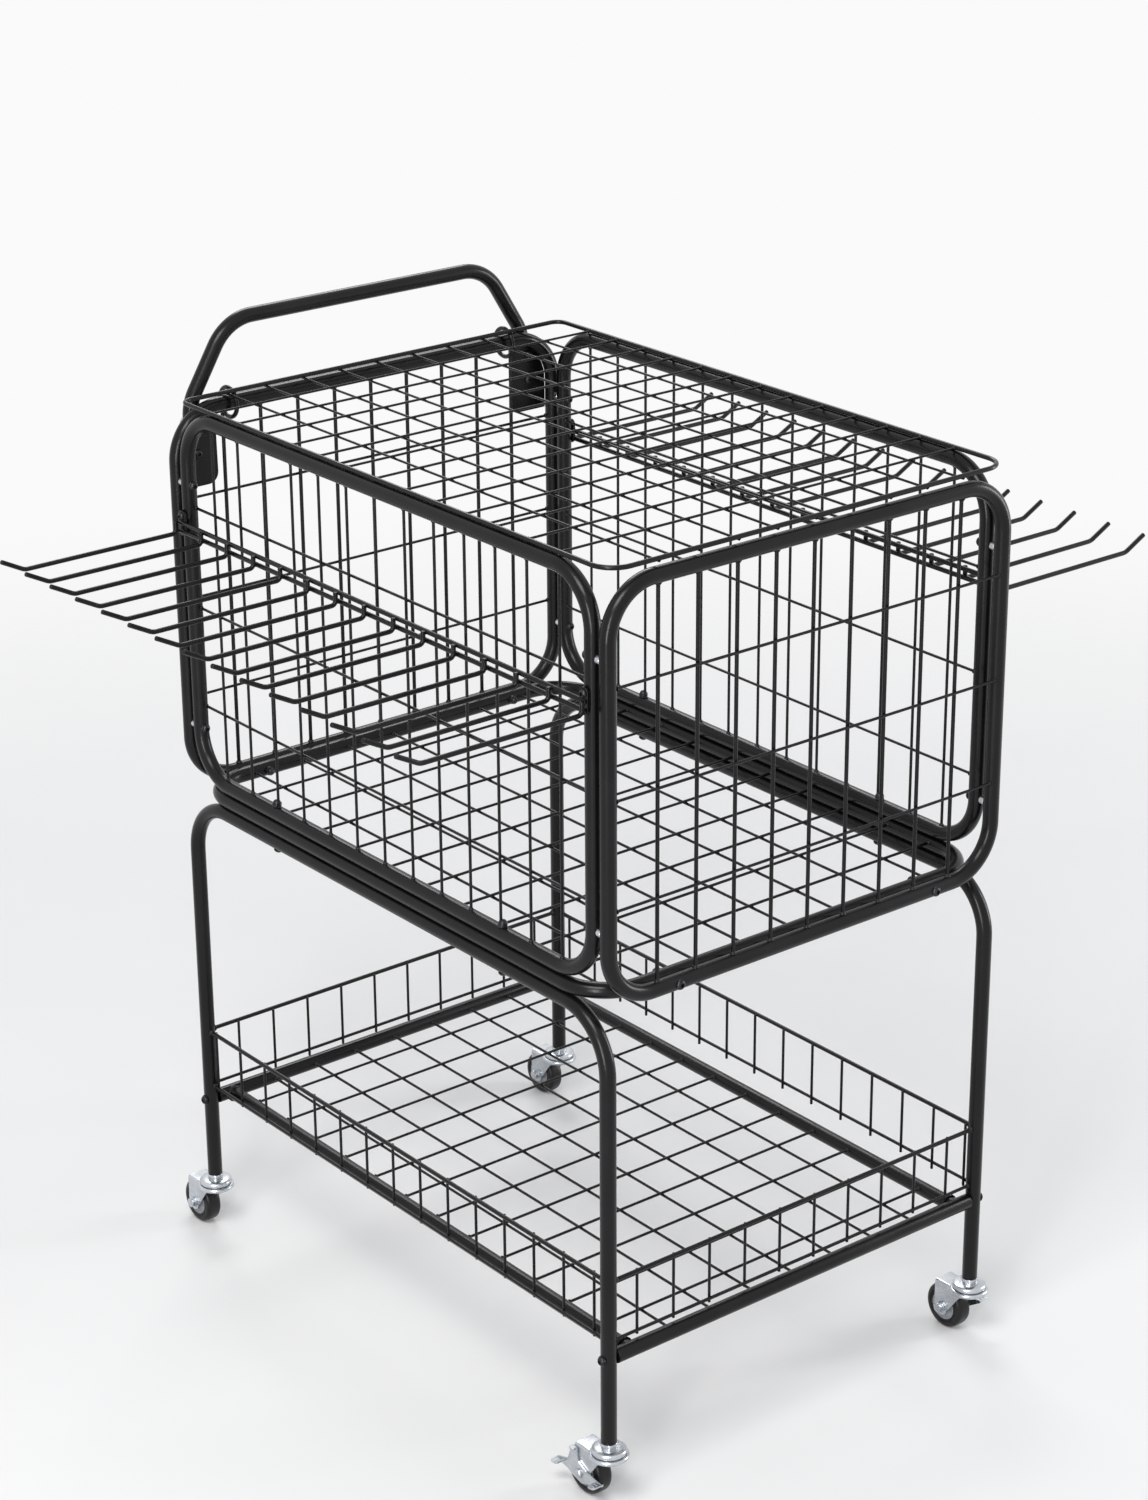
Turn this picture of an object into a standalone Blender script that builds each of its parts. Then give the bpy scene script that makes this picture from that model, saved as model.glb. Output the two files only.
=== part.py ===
"""Wheeled ball cart: a lidded wire basket on a tube stand, with a tray, a push handle and side hooks."""

import math

import bmesh
import bpy
from mathutils import Vector

# All lengths are in millimetres. X is the cart's width, Y its length with the handle at +Y, Z is up.
MM = 0.001

# Tube, wire and sheet stock
TUBE_D = 16.0
PANEL_WIRE_D = 4.0
MESH_WIRE_D = 3.0
LID_ROD_D = 4.8
LID_WIRE_D = 2.5
RACK_ROD_D = 5.0
HOOK_ROD_D = 4.8
TRAY_RIM_D = 4.5
TRAY_FOOT_D = 3.5
PLATE_T = 3.0

# Clearances between neighbouring pieces, the depth of a weld, and how far a cutter runs past a face
FIT_GAP = 0.3
WELD = 0.7
CUT_PAST = 1.0

# Stand: two tube frames, each bent like an upside-down U
STAND_W = 490.0
LEG_SPAN = 694.0
LEG_H = 454.6
LEG_BEND_R = 60.0

# Basket
PANEL_SPAN = 697.4
PANEL_H = 406.0
PANEL_BEND_R = 52.0
CORNER_GAP = 4.8
SIDE_RISE = 4.9
BASE_BEND_R = 50.0
BASE_PITCH = 60.0
MESH_PITCH = 46.8
MESH_EDGE = 40.0
ROW_PITCH = 108.5
SPACER_D = 9.0
SPACER_INSET = 18.0

# Lid
LID_CORNER_R = 25.0
LID_FRONT_LAP = 1.8
LID_WIRE_TAIL = 3.0
RING_R = 15.5
RING_ROD_D = 4.8
RING_INSET = 66.0

# Push handle and its corner plates
HANDLE_INSET = 29.0
HANDLE_RISE = 82.3
HANDLE_DROP = 84.7
HANDLE_BEND_R = 46.0
PLATE_REACH = 24.0
PLATE_CORNER_R = 12.0
HANDLE_BOLT_DROP = 20.8
HANDLE_BOLT_PITCH = 28.8

# Hook racks
HOOK_COUNT = 15
HOOK_RUN = 178.5
HOOK_TIP_OUT = 26.0
HOOK_TIP_UP = 13.6
HOOK_STUB_H = 13.1
HOOK_STUB_R = 5.0
HOOK_TIP_R = 14.0
HOOK_END_OUT = 3.9
HOOK_DROP = 120.3
RACK_RAIL_PITCH = 9.0
TAB_W = 12.0
TAB_H = 27.0
TAB_T = 3.0

# Tray
TRAY_H = 93.6
TRAY_RAIL_INSET = 26.0
TRAY_PITCH = 54.6
TRAY_EDGE = 30.0
TRAY_RIM_RISE = 83.6
TRAY_FOOT_RISE = 17.6
TRAY_TAIL = 6.0
SIDE_WALL_PITCH = 46.9
SIDE_WALL_SHIFT = 7.0
END_WALL_PITCH = 46.0

# Bolts
BOLT_D = 6.0
HEAD_D = 10.0
HEAD_H = 3.2
NUT_AF = 10.0
NUT_H = 4.5
BOLT_BITE = 14.0

# Casters
WHEEL_D = 50.0
WHEEL_W = 18.0
TYRE_T = 9.5
TYRE_SHOULDER = 3.0
TRAIL = 29.0
HUB_BOSS_D = 13.0
HUB_BOSS_OUT = 0.8
HUB_DISH = 1.6
HUB_BOSS_SLOPE = 1.0
FORK_T = 2.0
FORK_SIDE_GAP = 0.5
FORK_EDGE = 9.0
CHEEK_ROOT_DROP = 1.0
CHEEK_NECK_X = 2.9
CHEEK_NECK_DROP = 7.0
CHEEK_NECK_R = 6.0
CHEEK_TOE_DROP = 2.0
CHEEK_TOE_HALF_W = 5.4
CHEEK_TOE_R = 3.0
TYRE_CROWN_GAP = 3.5
CROWN_D = 40.4
CROWN_H = 4.8
RACE_GAP = 0.7
RACE_D = 35.4
RACE_H = 6.0
STEM_D = 10.0
STEM_IN = 25.0
STEM_NUT_AF = 16.0
STEM_NUT_H = 5.2
KINGPIN_D = 8.0
KINGPIN_HEAD_D = 13.0
KINGPIN_HEAD_H = 2.4
AXLE_D = 6.0
LEVER_T = 2.0
LEVER_SWING = 14.0
LEVER_EYE_R = 8.5
LEVER_WAIST_R = 4.0
LEVER_EDGE_R = 3.0
PEDAL_L = 11.0
PEDAL_SET = 0.8
FRONT_PEDAL = (-34.0, 12.5)
FRONT_PEDAL_FALL = 4.5
FRONT_PEDAL_OUT = 20.0
REAR_PEDAL = (36.0, 2.0)
REAR_PEDAL_FALL = 2.0
REAR_PEDAL_OUT = 12.0
LUG = (14.0, 25.0)
LUG_HALF_L = 4.0
LUG_OUT = 6.0

# Facets
TUBE_SIDES = 10
WIRE_SIDES = 4
ROD_SIDES = 6
PIN_SIDES = 8
RACE_SIDES = 12
WHEEL_SIDES = 16
BEND_STEPS = 4
HOOK_STEPS = 1

# Heights and half-sizes that follow from the sizes above
TUBE_R = TUBE_D / 2
STACK = TUBE_D + FIT_GAP
HALF_X = STAND_W / 2
LEG_Y = LEG_SPAN / 2
PANEL_Y = PANEL_SPAN / 2
SIDE_Y = PANEL_Y - TUBE_D - CORNER_GAP
BASE_Y = PANEL_Y - STACK
CROWN_Z = WHEEL_D + TYRE_CROWN_GAP
RACE_Z = CROWN_Z + CROWN_H + RACE_GAP
LEG_Z = RACE_Z + RACE_H + STEM_NUT_H + FIT_GAP
LEG_TOP_Z = LEG_Z + LEG_H
BASE_Z = LEG_TOP_Z + STACK
PANEL_TOP_Z = BASE_Z + PANEL_H
PANEL_MID_Z = BASE_Z + PANEL_H / 2
SIDE_Z = BASE_Z + STACK
SIDE_TOP_Z = PANEL_TOP_Z + SIDE_RISE
LID_Z = SIDE_TOP_Z + TUBE_R + FIT_GAP + LID_ROD_D / 2
RING_TO_ROD = RING_R + RING_ROD_D / 2 + FIT_GAP + LID_ROD_D / 2
LID_REAR_Y = PANEL_Y - math.sqrt(RING_TO_ROD ** 2 - (LID_Z - PANEL_TOP_Z) ** 2)
LID_FRONT_Y = -PANEL_Y - LID_FRONT_LAP
HINGE = (0.0, PANEL_Y, PANEL_TOP_Z)
HANDLE_X = HALF_X - HANDLE_INSET
HANDLE_Y = PANEL_Y + STACK
HANDLE_FOOT_Z = PANEL_TOP_Z - HANDLE_DROP
HOOK_Z = PANEL_TOP_Z - HOOK_DROP
TRAY_Z = LEG_Z + TRAY_H
WHEEL_Z = WHEEL_D / 2
FORK_IN = WHEEL_W / 2 + HUB_BOSS_OUT + FORK_SIDE_GAP
FORK_OUT = FORK_IN + FORK_T
LEVER_IN = FORK_OUT + FIT_GAP
LEVER_OUT = LEVER_IN + LEVER_T
AXLE_BORE_R = AXLE_D / 2 + FIT_GAP
CENTRE = (0.0, (TRAIL + WHEEL_D / 2 - CROWN_D / 2) / 2, 0.0)
BOLT_R = BOLT_D / 2


# Materials

def material(name, colour, roughness, metallic):
    """A plain principled surface."""
    made = bpy.data.materials.new(name)
    made.use_nodes = True
    shader = made.node_tree.nodes["Principled BSDF"]
    shader.inputs["Base Color"].default_value = (*colour, 1.0)
    shader.inputs["Roughness"].default_value = roughness
    shader.inputs["Metallic"].default_value = metallic
    made.diffuse_color = (*colour, 1.0)
    return made


def make_materials():
    return {
        "coat": material("black_powder_coat", (0.018, 0.018, 0.02), 0.36, 0.0),
        "zinc": material("bright_zinc", (0.62, 0.65, 0.68), 0.28, 1.0),
        "tyre": material("black_rubber", (0.012, 0.012, 0.012), 0.55, 0.0),
        "hub": material("grey_nylon", (0.2, 0.21, 0.23), 0.45, 0.0),
    }


# Outlines and paths

def arc_at(before, corner, after, radius, steps):
    """Points and directions of the arc that rounds one corner."""
    a = (corner - before).normalized()
    b = (after - corner).normalized()
    turn = a.angle(b)
    side = (b - a * math.cos(turn)).normalized()
    start = corner - a * radius * math.tan(turn / 2)
    arc = []
    for k in range(steps + 1):
        t = turn * k / steps
        spot = start + side * radius * (1 - math.cos(t)) + a * radius * math.sin(t)
        arc.append((spot, a * math.cos(t) + side * math.sin(t)))
    return arc


def bent(points, radii, steps, closed=False):
    """Points and directions along a planar path with one bend radius for each corner."""
    points = [Vector(p) for p in points]
    path = []
    if closed:
        before = [points[-1]] + points[:-1]
        after = points[1:] + [points[0]]
        corners = list(zip(before, points, after))
    else:
        corners = list(zip(points, points[1:], points[2:]))
        path.append((points[0], (points[1] - points[0]).normalized()))
    for (first, corner, last), radius in zip(corners, radii):
        path.extend(arc_at(first, corner, last, radius, steps))
    if not closed:
        path.append((points[-1], (points[-1] - points[-2]).normalized()))
    return path


def outline(points, radii, steps):
    """A flat closed outline; radii gives the rounding of the corners listed in it."""
    spots = [Vector((u, v, 0.0)) for u, v in points]
    result = []
    for i, corner in enumerate(spots):
        if i in radii:
            arc = arc_at(spots[i - 1], corner, spots[(i + 1) % len(spots)], radii[i], steps)
            result.extend((p.x, p.y) for p, _ in arc)
        else:
            result.append((corner.x, corner.y))
    return result


def chord(radius, offset):
    """Half the width of a round bar at a distance from its middle plane."""
    return math.sqrt(max(radius ** 2 - offset ** 2, 0.0))


def frame_reach(half_u, half_v, bend, u):
    """Distance from the middle to the centreline of a rounded frame, measured at u."""
    past = max(abs(u) - (half_u - bend), 0.0)
    return half_v - bend + chord(bend, past)


def spread(span, pitch, edge):
    """Evenly pitched places about the middle of a span, at least edge from both ends."""
    count = int((span - 2 * edge) // pitch) + 1
    return [(i - (count - 1) / 2) * pitch for i in range(count)]


# Solids

def add_rings(bm, rings, closed=False):
    """Skin a row of point rings into one closed body; a ring of one point is a pole."""
    made = [[bm.verts.new(Vector(p) * MM) for p in ring] for ring in rings]
    pairs = list(zip(made[:-1], made[1:]))
    if closed:
        pairs.append((made[-1], made[0]))
    for first, second in pairs:
        count = max(len(first), len(second))
        for k in range(count):
            n = (k + 1) % count
            corners = [first[k % len(first)], first[n % len(first)],
                       second[n % len(second)], second[k % len(second)]]
            bm.faces.new(list(dict.fromkeys(corners)))
    if not closed:
        for ring in (made[0], made[-1]):
            if len(ring) > 2:
                bm.faces.new(ring)


def add_bar(bm, path, normal, radius, sides, closed=False):
    """Sweep a round section along a planar path of points and directions."""
    normal = Vector(normal)
    turns = [2 * math.pi * k / sides for k in range(sides)]
    rings = []
    for spot, along in path:
        across = along.cross(normal)
        rings.append([spot + (normal * math.cos(a) + across * math.sin(a)) * radius for a in turns])
    add_rings(bm, rings, closed)


def add_rod(bm, start, end, diameter, normal, sides=WIRE_SIDES):
    """A straight round bar; normal is where its first edge lies."""
    start = Vector(start)
    end = Vector(end)
    along = (end - start).normalized()
    add_bar(bm, [(start, along), (end, along)], normal, diameter / 2, sides)


def add_bore(bm, start, end, pin_d, normal):
    """A round cutter whose flats clear a pin of that diameter."""
    add_rod(bm, start, end, (pin_d + 2 * FIT_GAP) / math.cos(math.pi / PIN_SIDES), normal, PIN_SIDES)


def add_turned(bm, profile, origin, axis, first, sides, phase=0.0, closed=False):
    """Turn a profile of (distance along the axis, radius) or (distance, half across flats, 'hex')."""
    origin = Vector(origin)
    axis = Vector(axis)
    u = Vector(first)
    v = axis.cross(u)
    rings = []
    for along, radius, *shape in profile:
        centre = origin + axis * along
        if radius == 0.0:
            rings.append([centre])
            continue
        ring = []
        for k in range(sides):
            a = 2 * math.pi * (k + phase) / sides
            flat = math.cos((a + math.pi / 6) % (math.pi / 3) - math.pi / 6) if shape else 1.0
            ring.append(centre + (u * math.cos(a) + v * math.sin(a)) * radius / flat)
        rings.append(ring)
    add_rings(bm, rings, closed)


def add_sheet(bm, shape, origin, u, v, thickness):
    """Extrude a flat outline from the plane of u and v along their cross direction."""
    origin = Vector(origin)
    u = Vector(u)
    v = Vector(v)
    out = u.cross(v) * thickness
    near = [origin + u * a + v * b for a, b in shape]
    add_rings(bm, [near, [p + out for p in near]])


def combined(bm, other, operation):
    """Add, subtract or intersect another body; the result stays in bm."""
    holders = []
    for shape in (bm, other):
        bmesh.ops.recalc_face_normals(shape, faces=shape.faces)
        mesh = bpy.data.meshes.new("step")
        shape.to_mesh(mesh)
        holder = bpy.data.objects.new("step", mesh)
        bpy.context.scene.collection.objects.link(holder)
        holders.append(holder)
    modifier = holders[0].modifiers.new("combine", "BOOLEAN")
    modifier.operation = operation
    modifier.solver = "EXACT"
    modifier.object = holders[1]
    depsgraph = bpy.context.evaluated_depsgraph_get()
    result = bpy.data.meshes.new_from_object(holders[0].evaluated_get(depsgraph))
    bm.clear()
    bm.from_mesh(result)
    other.free()
    bpy.data.meshes.remove(result)
    for holder in holders:
        mesh = holder.data
        bpy.data.objects.remove(holder)
        bpy.data.meshes.remove(mesh)
    bmesh.ops.dissolve_limit(bm, angle_limit=0.002, verts=bm.verts, edges=bm.edges)


def place(name, bm, surface, origin=(0.0, 0.0, 0.0), turn=0.0):
    """Make the named object with its origin at a point, turned in degrees about X, in the centred cart."""
    bmesh.ops.recalc_face_normals(bm, faces=bm.faces)
    bmesh.ops.translate(bm, vec=-Vector(origin) * MM, verts=bm.verts)
    mesh = bpy.data.meshes.new(name)
    bm.to_mesh(mesh)
    bm.free()
    mesh.materials.append(surface)
    mesh.shade_smooth()
    mesh.set_sharp_from_angle(angle=math.radians(38))
    made = bpy.data.objects.new(name, mesh)
    made.location = (Vector(origin) - Vector(CENTRE)) * MM
    made.rotation_euler.x = math.radians(turn)
    bpy.context.scene.collection.objects.link(made)


def bolt_profile(length, head_d):
    """A round-headed bolt whose head seats at zero and whose shank runs forward."""
    head_r = head_d / 2
    return [(-HEAD_H, 0.0), (-HEAD_H, head_r * 0.5), (-HEAD_H * 0.5, head_r * 0.9), (0.0, head_r),
            (0.0, BOLT_R), (length, BOLT_R), (length, 0.0)]


# Stand

def make_leg_frame(name, side, surface):
    """One bent tube with its feet bored for the caster stems and cross-bored for the tray."""
    x = side * HALF_X
    corners = [(x, -LEG_Y, LEG_Z), (x, -LEG_Y, LEG_TOP_Z), (x, LEG_Y, LEG_TOP_Z), (x, LEG_Y, LEG_Z)]
    bm = bmesh.new()
    add_bar(bm, bent(corners, [LEG_BEND_R] * 2, BEND_STEPS), (1, 0, 0), TUBE_R, TUBE_SIDES)
    holes = bmesh.new()
    for y in (-LEG_Y, LEG_Y):
        foot = Vector((x, y, LEG_Z))
        add_bore(holes, foot - Vector((0, 0, CUT_PAST)), foot + Vector((0, 0, STEM_IN + FIT_GAP)), STEM_D,
                 (1, 0, 0))
        add_bore(holes, (x - TUBE_D, y, TRAY_Z), (x + TUBE_D, y, TRAY_Z), BOLT_D, (0, 0, 1))
    combined(bm, holes, "DIFFERENCE")
    place(name, bm, surface)


# Tray

def make_tray_floor(surface):
    """Four welded tube rails with two layers of wire let into them."""
    end_x = HALF_X - TUBE_R - FIT_GAP
    rail_x = HALF_X - TRAY_RAIL_INSET
    bm = bmesh.new()
    for y in (-LEG_Y, LEG_Y):
        add_rod(bm, (-end_x, y, TRAY_Z), (end_x, y, TRAY_Z), TUBE_D, (0, 0, 1), TUBE_SIDES)
    rails = bmesh.new()
    for x in (-rail_x, rail_x):
        add_rod(rails, (x, -LEG_Y, TRAY_Z), (x, LEG_Y, TRAY_Z), TUBE_D - 2 * WELD, (0, 0, 1), TUBE_SIDES)
    combined(bm, rails, "UNION")
    wires = bmesh.new()
    for x in spread(2 * rail_x, TRAY_PITCH, TRAY_EDGE):
        add_rod(wires, (x, -LEG_Y, TRAY_Z), (x, LEG_Y, TRAY_Z), MESH_WIRE_D, (0, 0, 1))
    z = TRAY_Z + MESH_WIRE_D + FIT_GAP
    for y in spread(LEG_SPAN, TRAY_PITCH, TRAY_EDGE):
        add_rod(wires, (-rail_x, y, z), (rail_x, y, z), MESH_WIRE_D, (0, 0, 1))
    combined(bm, wires, "UNION")
    holes = bmesh.new()
    for side in (-1, 1):
        for y in (-LEG_Y, LEG_Y):
            add_bore(holes, (side * (end_x - BOLT_BITE - FIT_GAP), y, TRAY_Z),
                     (side * (end_x + CUT_PAST), y, TRAY_Z), BOLT_D, (0, 0, 1))
    combined(bm, holes, "DIFFERENCE")
    place("tray_floor", bm, surface)


def make_tray_bolt(name, side, y, surface):
    seat = HALF_X + TUBE_R + FIT_GAP
    bm = bmesh.new()
    profile = bolt_profile(TUBE_D + 2 * FIT_GAP + BOLT_BITE, HEAD_D)
    add_turned(bm, profile, (side * seat, y, TRAY_Z), (-side, 0, 0), (0, 0, 1), PIN_SIDES)
    place(name, bm, surface)


def make_tray_wall(name, out, along, plane, corner, places, surface):
    """A low wire fence between two legs: rim and foot wire, with uprights welded inside them."""
    out = Vector(out)
    along = Vector(along)
    rim_z = TRAY_Z + TRAY_RIM_RISE
    foot_z = TRAY_Z + TRAY_FOOT_RISE
    end = corner - TUBE_R - FIT_GAP
    foot_at = plane - TRAY_RIM_D / 2 + TRAY_FOOT_D / 2
    bm = bmesh.new()
    for at, z, diameter in ((plane, rim_z, TRAY_RIM_D), (foot_at, foot_z, TRAY_FOOT_D)):
        middle = out * at + Vector((0, 0, z))
        add_rod(bm, middle - along * end, middle + along * end, diameter, (0, 0, 1), ROD_SIDES)
    upright_at = plane - TRAY_RIM_D / 2 - MESH_WIRE_D / 2 + WELD
    uprights = bmesh.new()
    for spot in places:
        low = out * upright_at + along * spot + Vector((0, 0, foot_z - TRAY_TAIL))
        high = out * upright_at + along * spot + Vector((0, 0, rim_z))
        add_rod(uprights, low, high, MESH_WIRE_D, out)
    combined(bm, uprights, "UNION")
    place(name, bm, surface)


def make_tray_walls(surface):
    side_span = LEG_SPAN - 2 * (TUBE_R + FIT_GAP)
    end_span = STAND_W - 2 * (TUBE_R + FIT_GAP)
    side_places = spread(side_span, SIDE_WALL_PITCH, SIDE_WALL_SHIFT + MESH_WIRE_D / 2)
    end_places = spread(end_span, END_WALL_PITCH, END_WALL_PITCH / 2)
    for name, side in (("tray_wall_left", -1), ("tray_wall_right", 1)):
        places = [p - side * SIDE_WALL_SHIFT for p in side_places]
        make_tray_wall(name, (side, 0, 0), (0, 1, 0), HALF_X, LEG_Y, places, surface)
    for name, side in (("tray_wall_front", -1), ("tray_wall_rear", 1)):
        make_tray_wall(name, (0, side, 0), (1, 0, 0), LEG_Y, HALF_X, end_places, surface)


# Basket

def make_base(surface):
    """The basket's floor: a rounded tube frame with two layers of wire let into it."""
    corners = [(-HALF_X, -BASE_Y, BASE_Z), (HALF_X, -BASE_Y, BASE_Z),
               (HALF_X, BASE_Y, BASE_Z), (-HALF_X, BASE_Y, BASE_Z)]
    bm = bmesh.new()
    add_bar(bm, bent(corners, [BASE_BEND_R] * 4, BEND_STEPS, True), (0, 0, 1), TUBE_R, TUBE_SIDES, True)
    wires = bmesh.new()
    for x in spread(STAND_W, BASE_PITCH, MESH_EDGE):
        stop = frame_reach(HALF_X, BASE_Y, BASE_BEND_R, x)
        add_rod(wires, (x, -stop, BASE_Z), (x, stop, BASE_Z), MESH_WIRE_D, (0, 0, 1))
    z = BASE_Z + MESH_WIRE_D + FIT_GAP
    for y in spread(2 * BASE_Y, BASE_PITCH, MESH_EDGE):
        stop = frame_reach(BASE_Y, HALF_X, BASE_BEND_R, y)
        add_rod(wires, (-stop, y, z), (stop, y, z), MESH_WIRE_D, (0, 0, 1))
    combined(bm, wires, "UNION")
    place("basket_base", bm, surface)


def spacer_heights():
    """Heights of the spacers that hold neighbouring walls apart."""
    lift = PANEL_BEND_R + SPACER_INSET
    return (BASE_Z + lift, PANEL_TOP_Z - lift)


def make_end_panel(name, side, surface):
    """Front or rear wall: a rounded tube frame, upright wires in its plane and three rows inside."""
    y = side * PANEL_Y
    corners = [(-HALF_X, y, BASE_Z), (HALF_X, y, BASE_Z), (HALF_X, y, PANEL_TOP_Z), (-HALF_X, y, PANEL_TOP_Z)]
    bm = bmesh.new()
    add_bar(bm, bent(corners, [PANEL_BEND_R] * 4, BEND_STEPS, True), (0, 1, 0), TUBE_R, TUBE_SIDES, True)
    wires = bmesh.new()
    half_h = PANEL_H / 2
    for x in spread(STAND_W, MESH_PITCH, MESH_EDGE):
        stop = frame_reach(HALF_X, half_h, PANEL_BEND_R, x)
        add_rod(wires, (x, y, PANEL_MID_Z - stop), (x, y, PANEL_MID_Z + stop), PANEL_WIRE_D, (0, 1, 0))
    inside = y - side * ((PANEL_WIRE_D + MESH_WIRE_D) / 2 + FIT_GAP)
    for row in (-ROW_PITCH, 0.0, ROW_PITCH):
        stop = frame_reach(half_h, HALF_X, PANEL_BEND_R, row)
        z = PANEL_MID_Z + row
        add_rod(wires, (-stop, inside, z), (stop, inside, z), MESH_WIRE_D, (0, 1, 0))
    combined(bm, wires, "UNION")
    place(name, bm, surface)


def make_side_panel(name, side, surface):
    """Long wall that stands on the base between the end panels, with a spacer to each of them."""
    x = side * HALF_X
    corners = [(x, -SIDE_Y, SIDE_Z), (x, SIDE_Y, SIDE_Z), (x, SIDE_Y, SIDE_TOP_Z), (x, -SIDE_Y, SIDE_TOP_Z)]
    bm = bmesh.new()
    add_bar(bm, bent(corners, [PANEL_BEND_R] * 4, BEND_STEPS, True), (1, 0, 0), TUBE_R, TUBE_SIDES, True)
    wires = bmesh.new()
    half_h = (SIDE_TOP_Z - SIDE_Z) / 2
    mid_z = (SIDE_TOP_Z + SIDE_Z) / 2
    for y in spread(2 * SIDE_Y, MESH_PITCH, MESH_EDGE):
        stop = frame_reach(SIDE_Y, half_h, PANEL_BEND_R, y)
        add_rod(wires, (x, y, mid_z - stop), (x, y, mid_z + stop), MESH_WIRE_D, (1, 0, 0))
    inside = x - side * (MESH_WIRE_D + FIT_GAP)
    for row in (-ROW_PITCH, 0.0, ROW_PITCH):
        z = PANEL_MID_Z + row
        stop = frame_reach(half_h, SIDE_Y, PANEL_BEND_R, z - mid_z)
        add_rod(wires, (inside, -stop, z), (inside, stop, z), MESH_WIRE_D, (1, 0, 0))
    for end in (-1, 1):
        for z in spacer_heights():
            add_rod(wires, (x, end * SIDE_Y, z), (x, end * (PANEL_Y - TUBE_R - FIT_GAP), z), SPACER_D,
                    (1, 0, 0), PIN_SIDES)
    combined(bm, wires, "UNION")
    place(name, bm, surface)


# Hook racks

def make_hook_rack(name, side, surface):
    """Two rails welded between end tabs, and a row of bent rod hooks welded across the rails."""
    tab_in = HALF_X + TUBE_R + FIT_GAP
    tab_out = tab_in + TAB_T
    half = TAB_W / 2
    rail_x = side * tab_out
    reach = SIDE_Y + HOOK_END_OUT
    rail_z = HOOK_Z + HOOK_ROD_D / 2
    bm = bmesh.new()
    for z in (rail_z, rail_z + RACK_RAIL_PITCH):
        add_rod(bm, (rail_x, -reach, z), (rail_x, reach, z), RACK_ROD_D, (0, 0, 1), ROD_SIDES)
    tabs = bmesh.new()
    for end in (-1, 1):
        low = HOOK_Z - HOOK_ROD_D / 2
        left = end * SIDE_Y - half
        shape = [(left, low), (left + TAB_W, low), (left + TAB_W, low + TAB_H), (left, low + TAB_H)]
        shape = outline(shape, dict.fromkeys(range(4), half * 0.9), 3)
        start = min(side * tab_in, side * tab_out)
        add_sheet(tabs, shape, (start, 0, 0), (0, 1, 0), (0, 0, 1), TAB_T)
    combined(bm, tabs, "UNION")
    hooks = bmesh.new()
    root = tab_out + (RACK_ROD_D + HOOK_ROD_D) / 2 - WELD
    bend = root + HOOK_RUN
    for i in range(HOOK_COUNT):
        y = reach * (2 * i / (HOOK_COUNT - 1) - 1)
        corners = [(side * root, y, HOOK_Z + HOOK_STUB_H), (side * root, y, HOOK_Z), (side * bend, y, HOOK_Z),
                   (side * (bend + HOOK_TIP_OUT), y, HOOK_Z + HOOK_TIP_UP)]
        path = bent(corners, [HOOK_STUB_R, HOOK_TIP_R], HOOK_STEPS)
        add_bar(hooks, path, (0, 1, 0), HOOK_ROD_D / 2, WIRE_SIDES)
    combined(bm, hooks, "UNION")
    place(name, bm, surface)


# Push handle

def handle_bolt_heights():
    first = PANEL_TOP_Z - HANDLE_BOLT_DROP
    return (first, first - HANDLE_BOLT_PITCH)


def make_handle(surface):
    """A bent tube bar behind the rear wall, cross-bored at both feet."""
    top = PANEL_TOP_Z + HANDLE_RISE
    corners = [(-HANDLE_X, HANDLE_Y, HANDLE_FOOT_Z), (-HANDLE_X, HANDLE_Y, top),
               (HANDLE_X, HANDLE_Y, top), (HANDLE_X, HANDLE_Y, HANDLE_FOOT_Z)]
    bm = bmesh.new()
    add_bar(bm, bent(corners, [HANDLE_BEND_R] * 2, BEND_STEPS), (0, 1, 0), TUBE_R, TUBE_SIDES)
    holes = bmesh.new()
    for x in (-HANDLE_X, HANDLE_X):
        for z in handle_bolt_heights():
            add_bore(holes, (x, HANDLE_Y - TUBE_D, z), (x, HANDLE_Y + TUBE_D, z), BOLT_D, (1, 0, 0))
    combined(bm, holes, "DIFFERENCE")
    place("handle", bm, surface)


def make_handle_plate(name, side, surface):
    """Plate in the rear wall's top corner that follows the bend and carries the handle."""
    back = PANEL_Y + TUBE_R
    front = back - PLATE_T
    hug = chord(TUBE_R, front - PANEL_Y) + FIT_GAP
    inner = PANEL_BEND_R - hug
    bend_x = HALF_X - PANEL_BEND_R
    bend_z = PANEL_TOP_Z - PANEL_BEND_R
    left = HANDLE_X - PLATE_REACH
    stop = math.acos(max(min((left - bend_x) / inner, 1.0), 0.0))
    turns = [stop * k / BEND_STEPS for k in range(BEND_STEPS + 1)]
    crown = [(bend_x + inner * math.cos(a), bend_z + inner * math.sin(a)) for a in turns]
    foot = outline([(crown[-1][0], bend_z), (left, HANDLE_FOOT_Z), (HALF_X - hug, HANDLE_FOOT_Z)],
                   {1: PLATE_CORNER_R}, 3)[1:]
    shape = [(side * x, z) for x, z in crown + foot]
    bm = bmesh.new()
    add_sheet(bm, shape, (0, back, 0), (1, 0, 0), (0, 0, 1), PLATE_T)
    holes = bmesh.new()
    for z in handle_bolt_heights():
        add_bore(holes, (side * HANDLE_X, front - CUT_PAST, z), (side * HANDLE_X, back + CUT_PAST, z), BOLT_D,
                 (1, 0, 0))
    combined(bm, holes, "DIFFERENCE")
    place(name, bm, surface)


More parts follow.
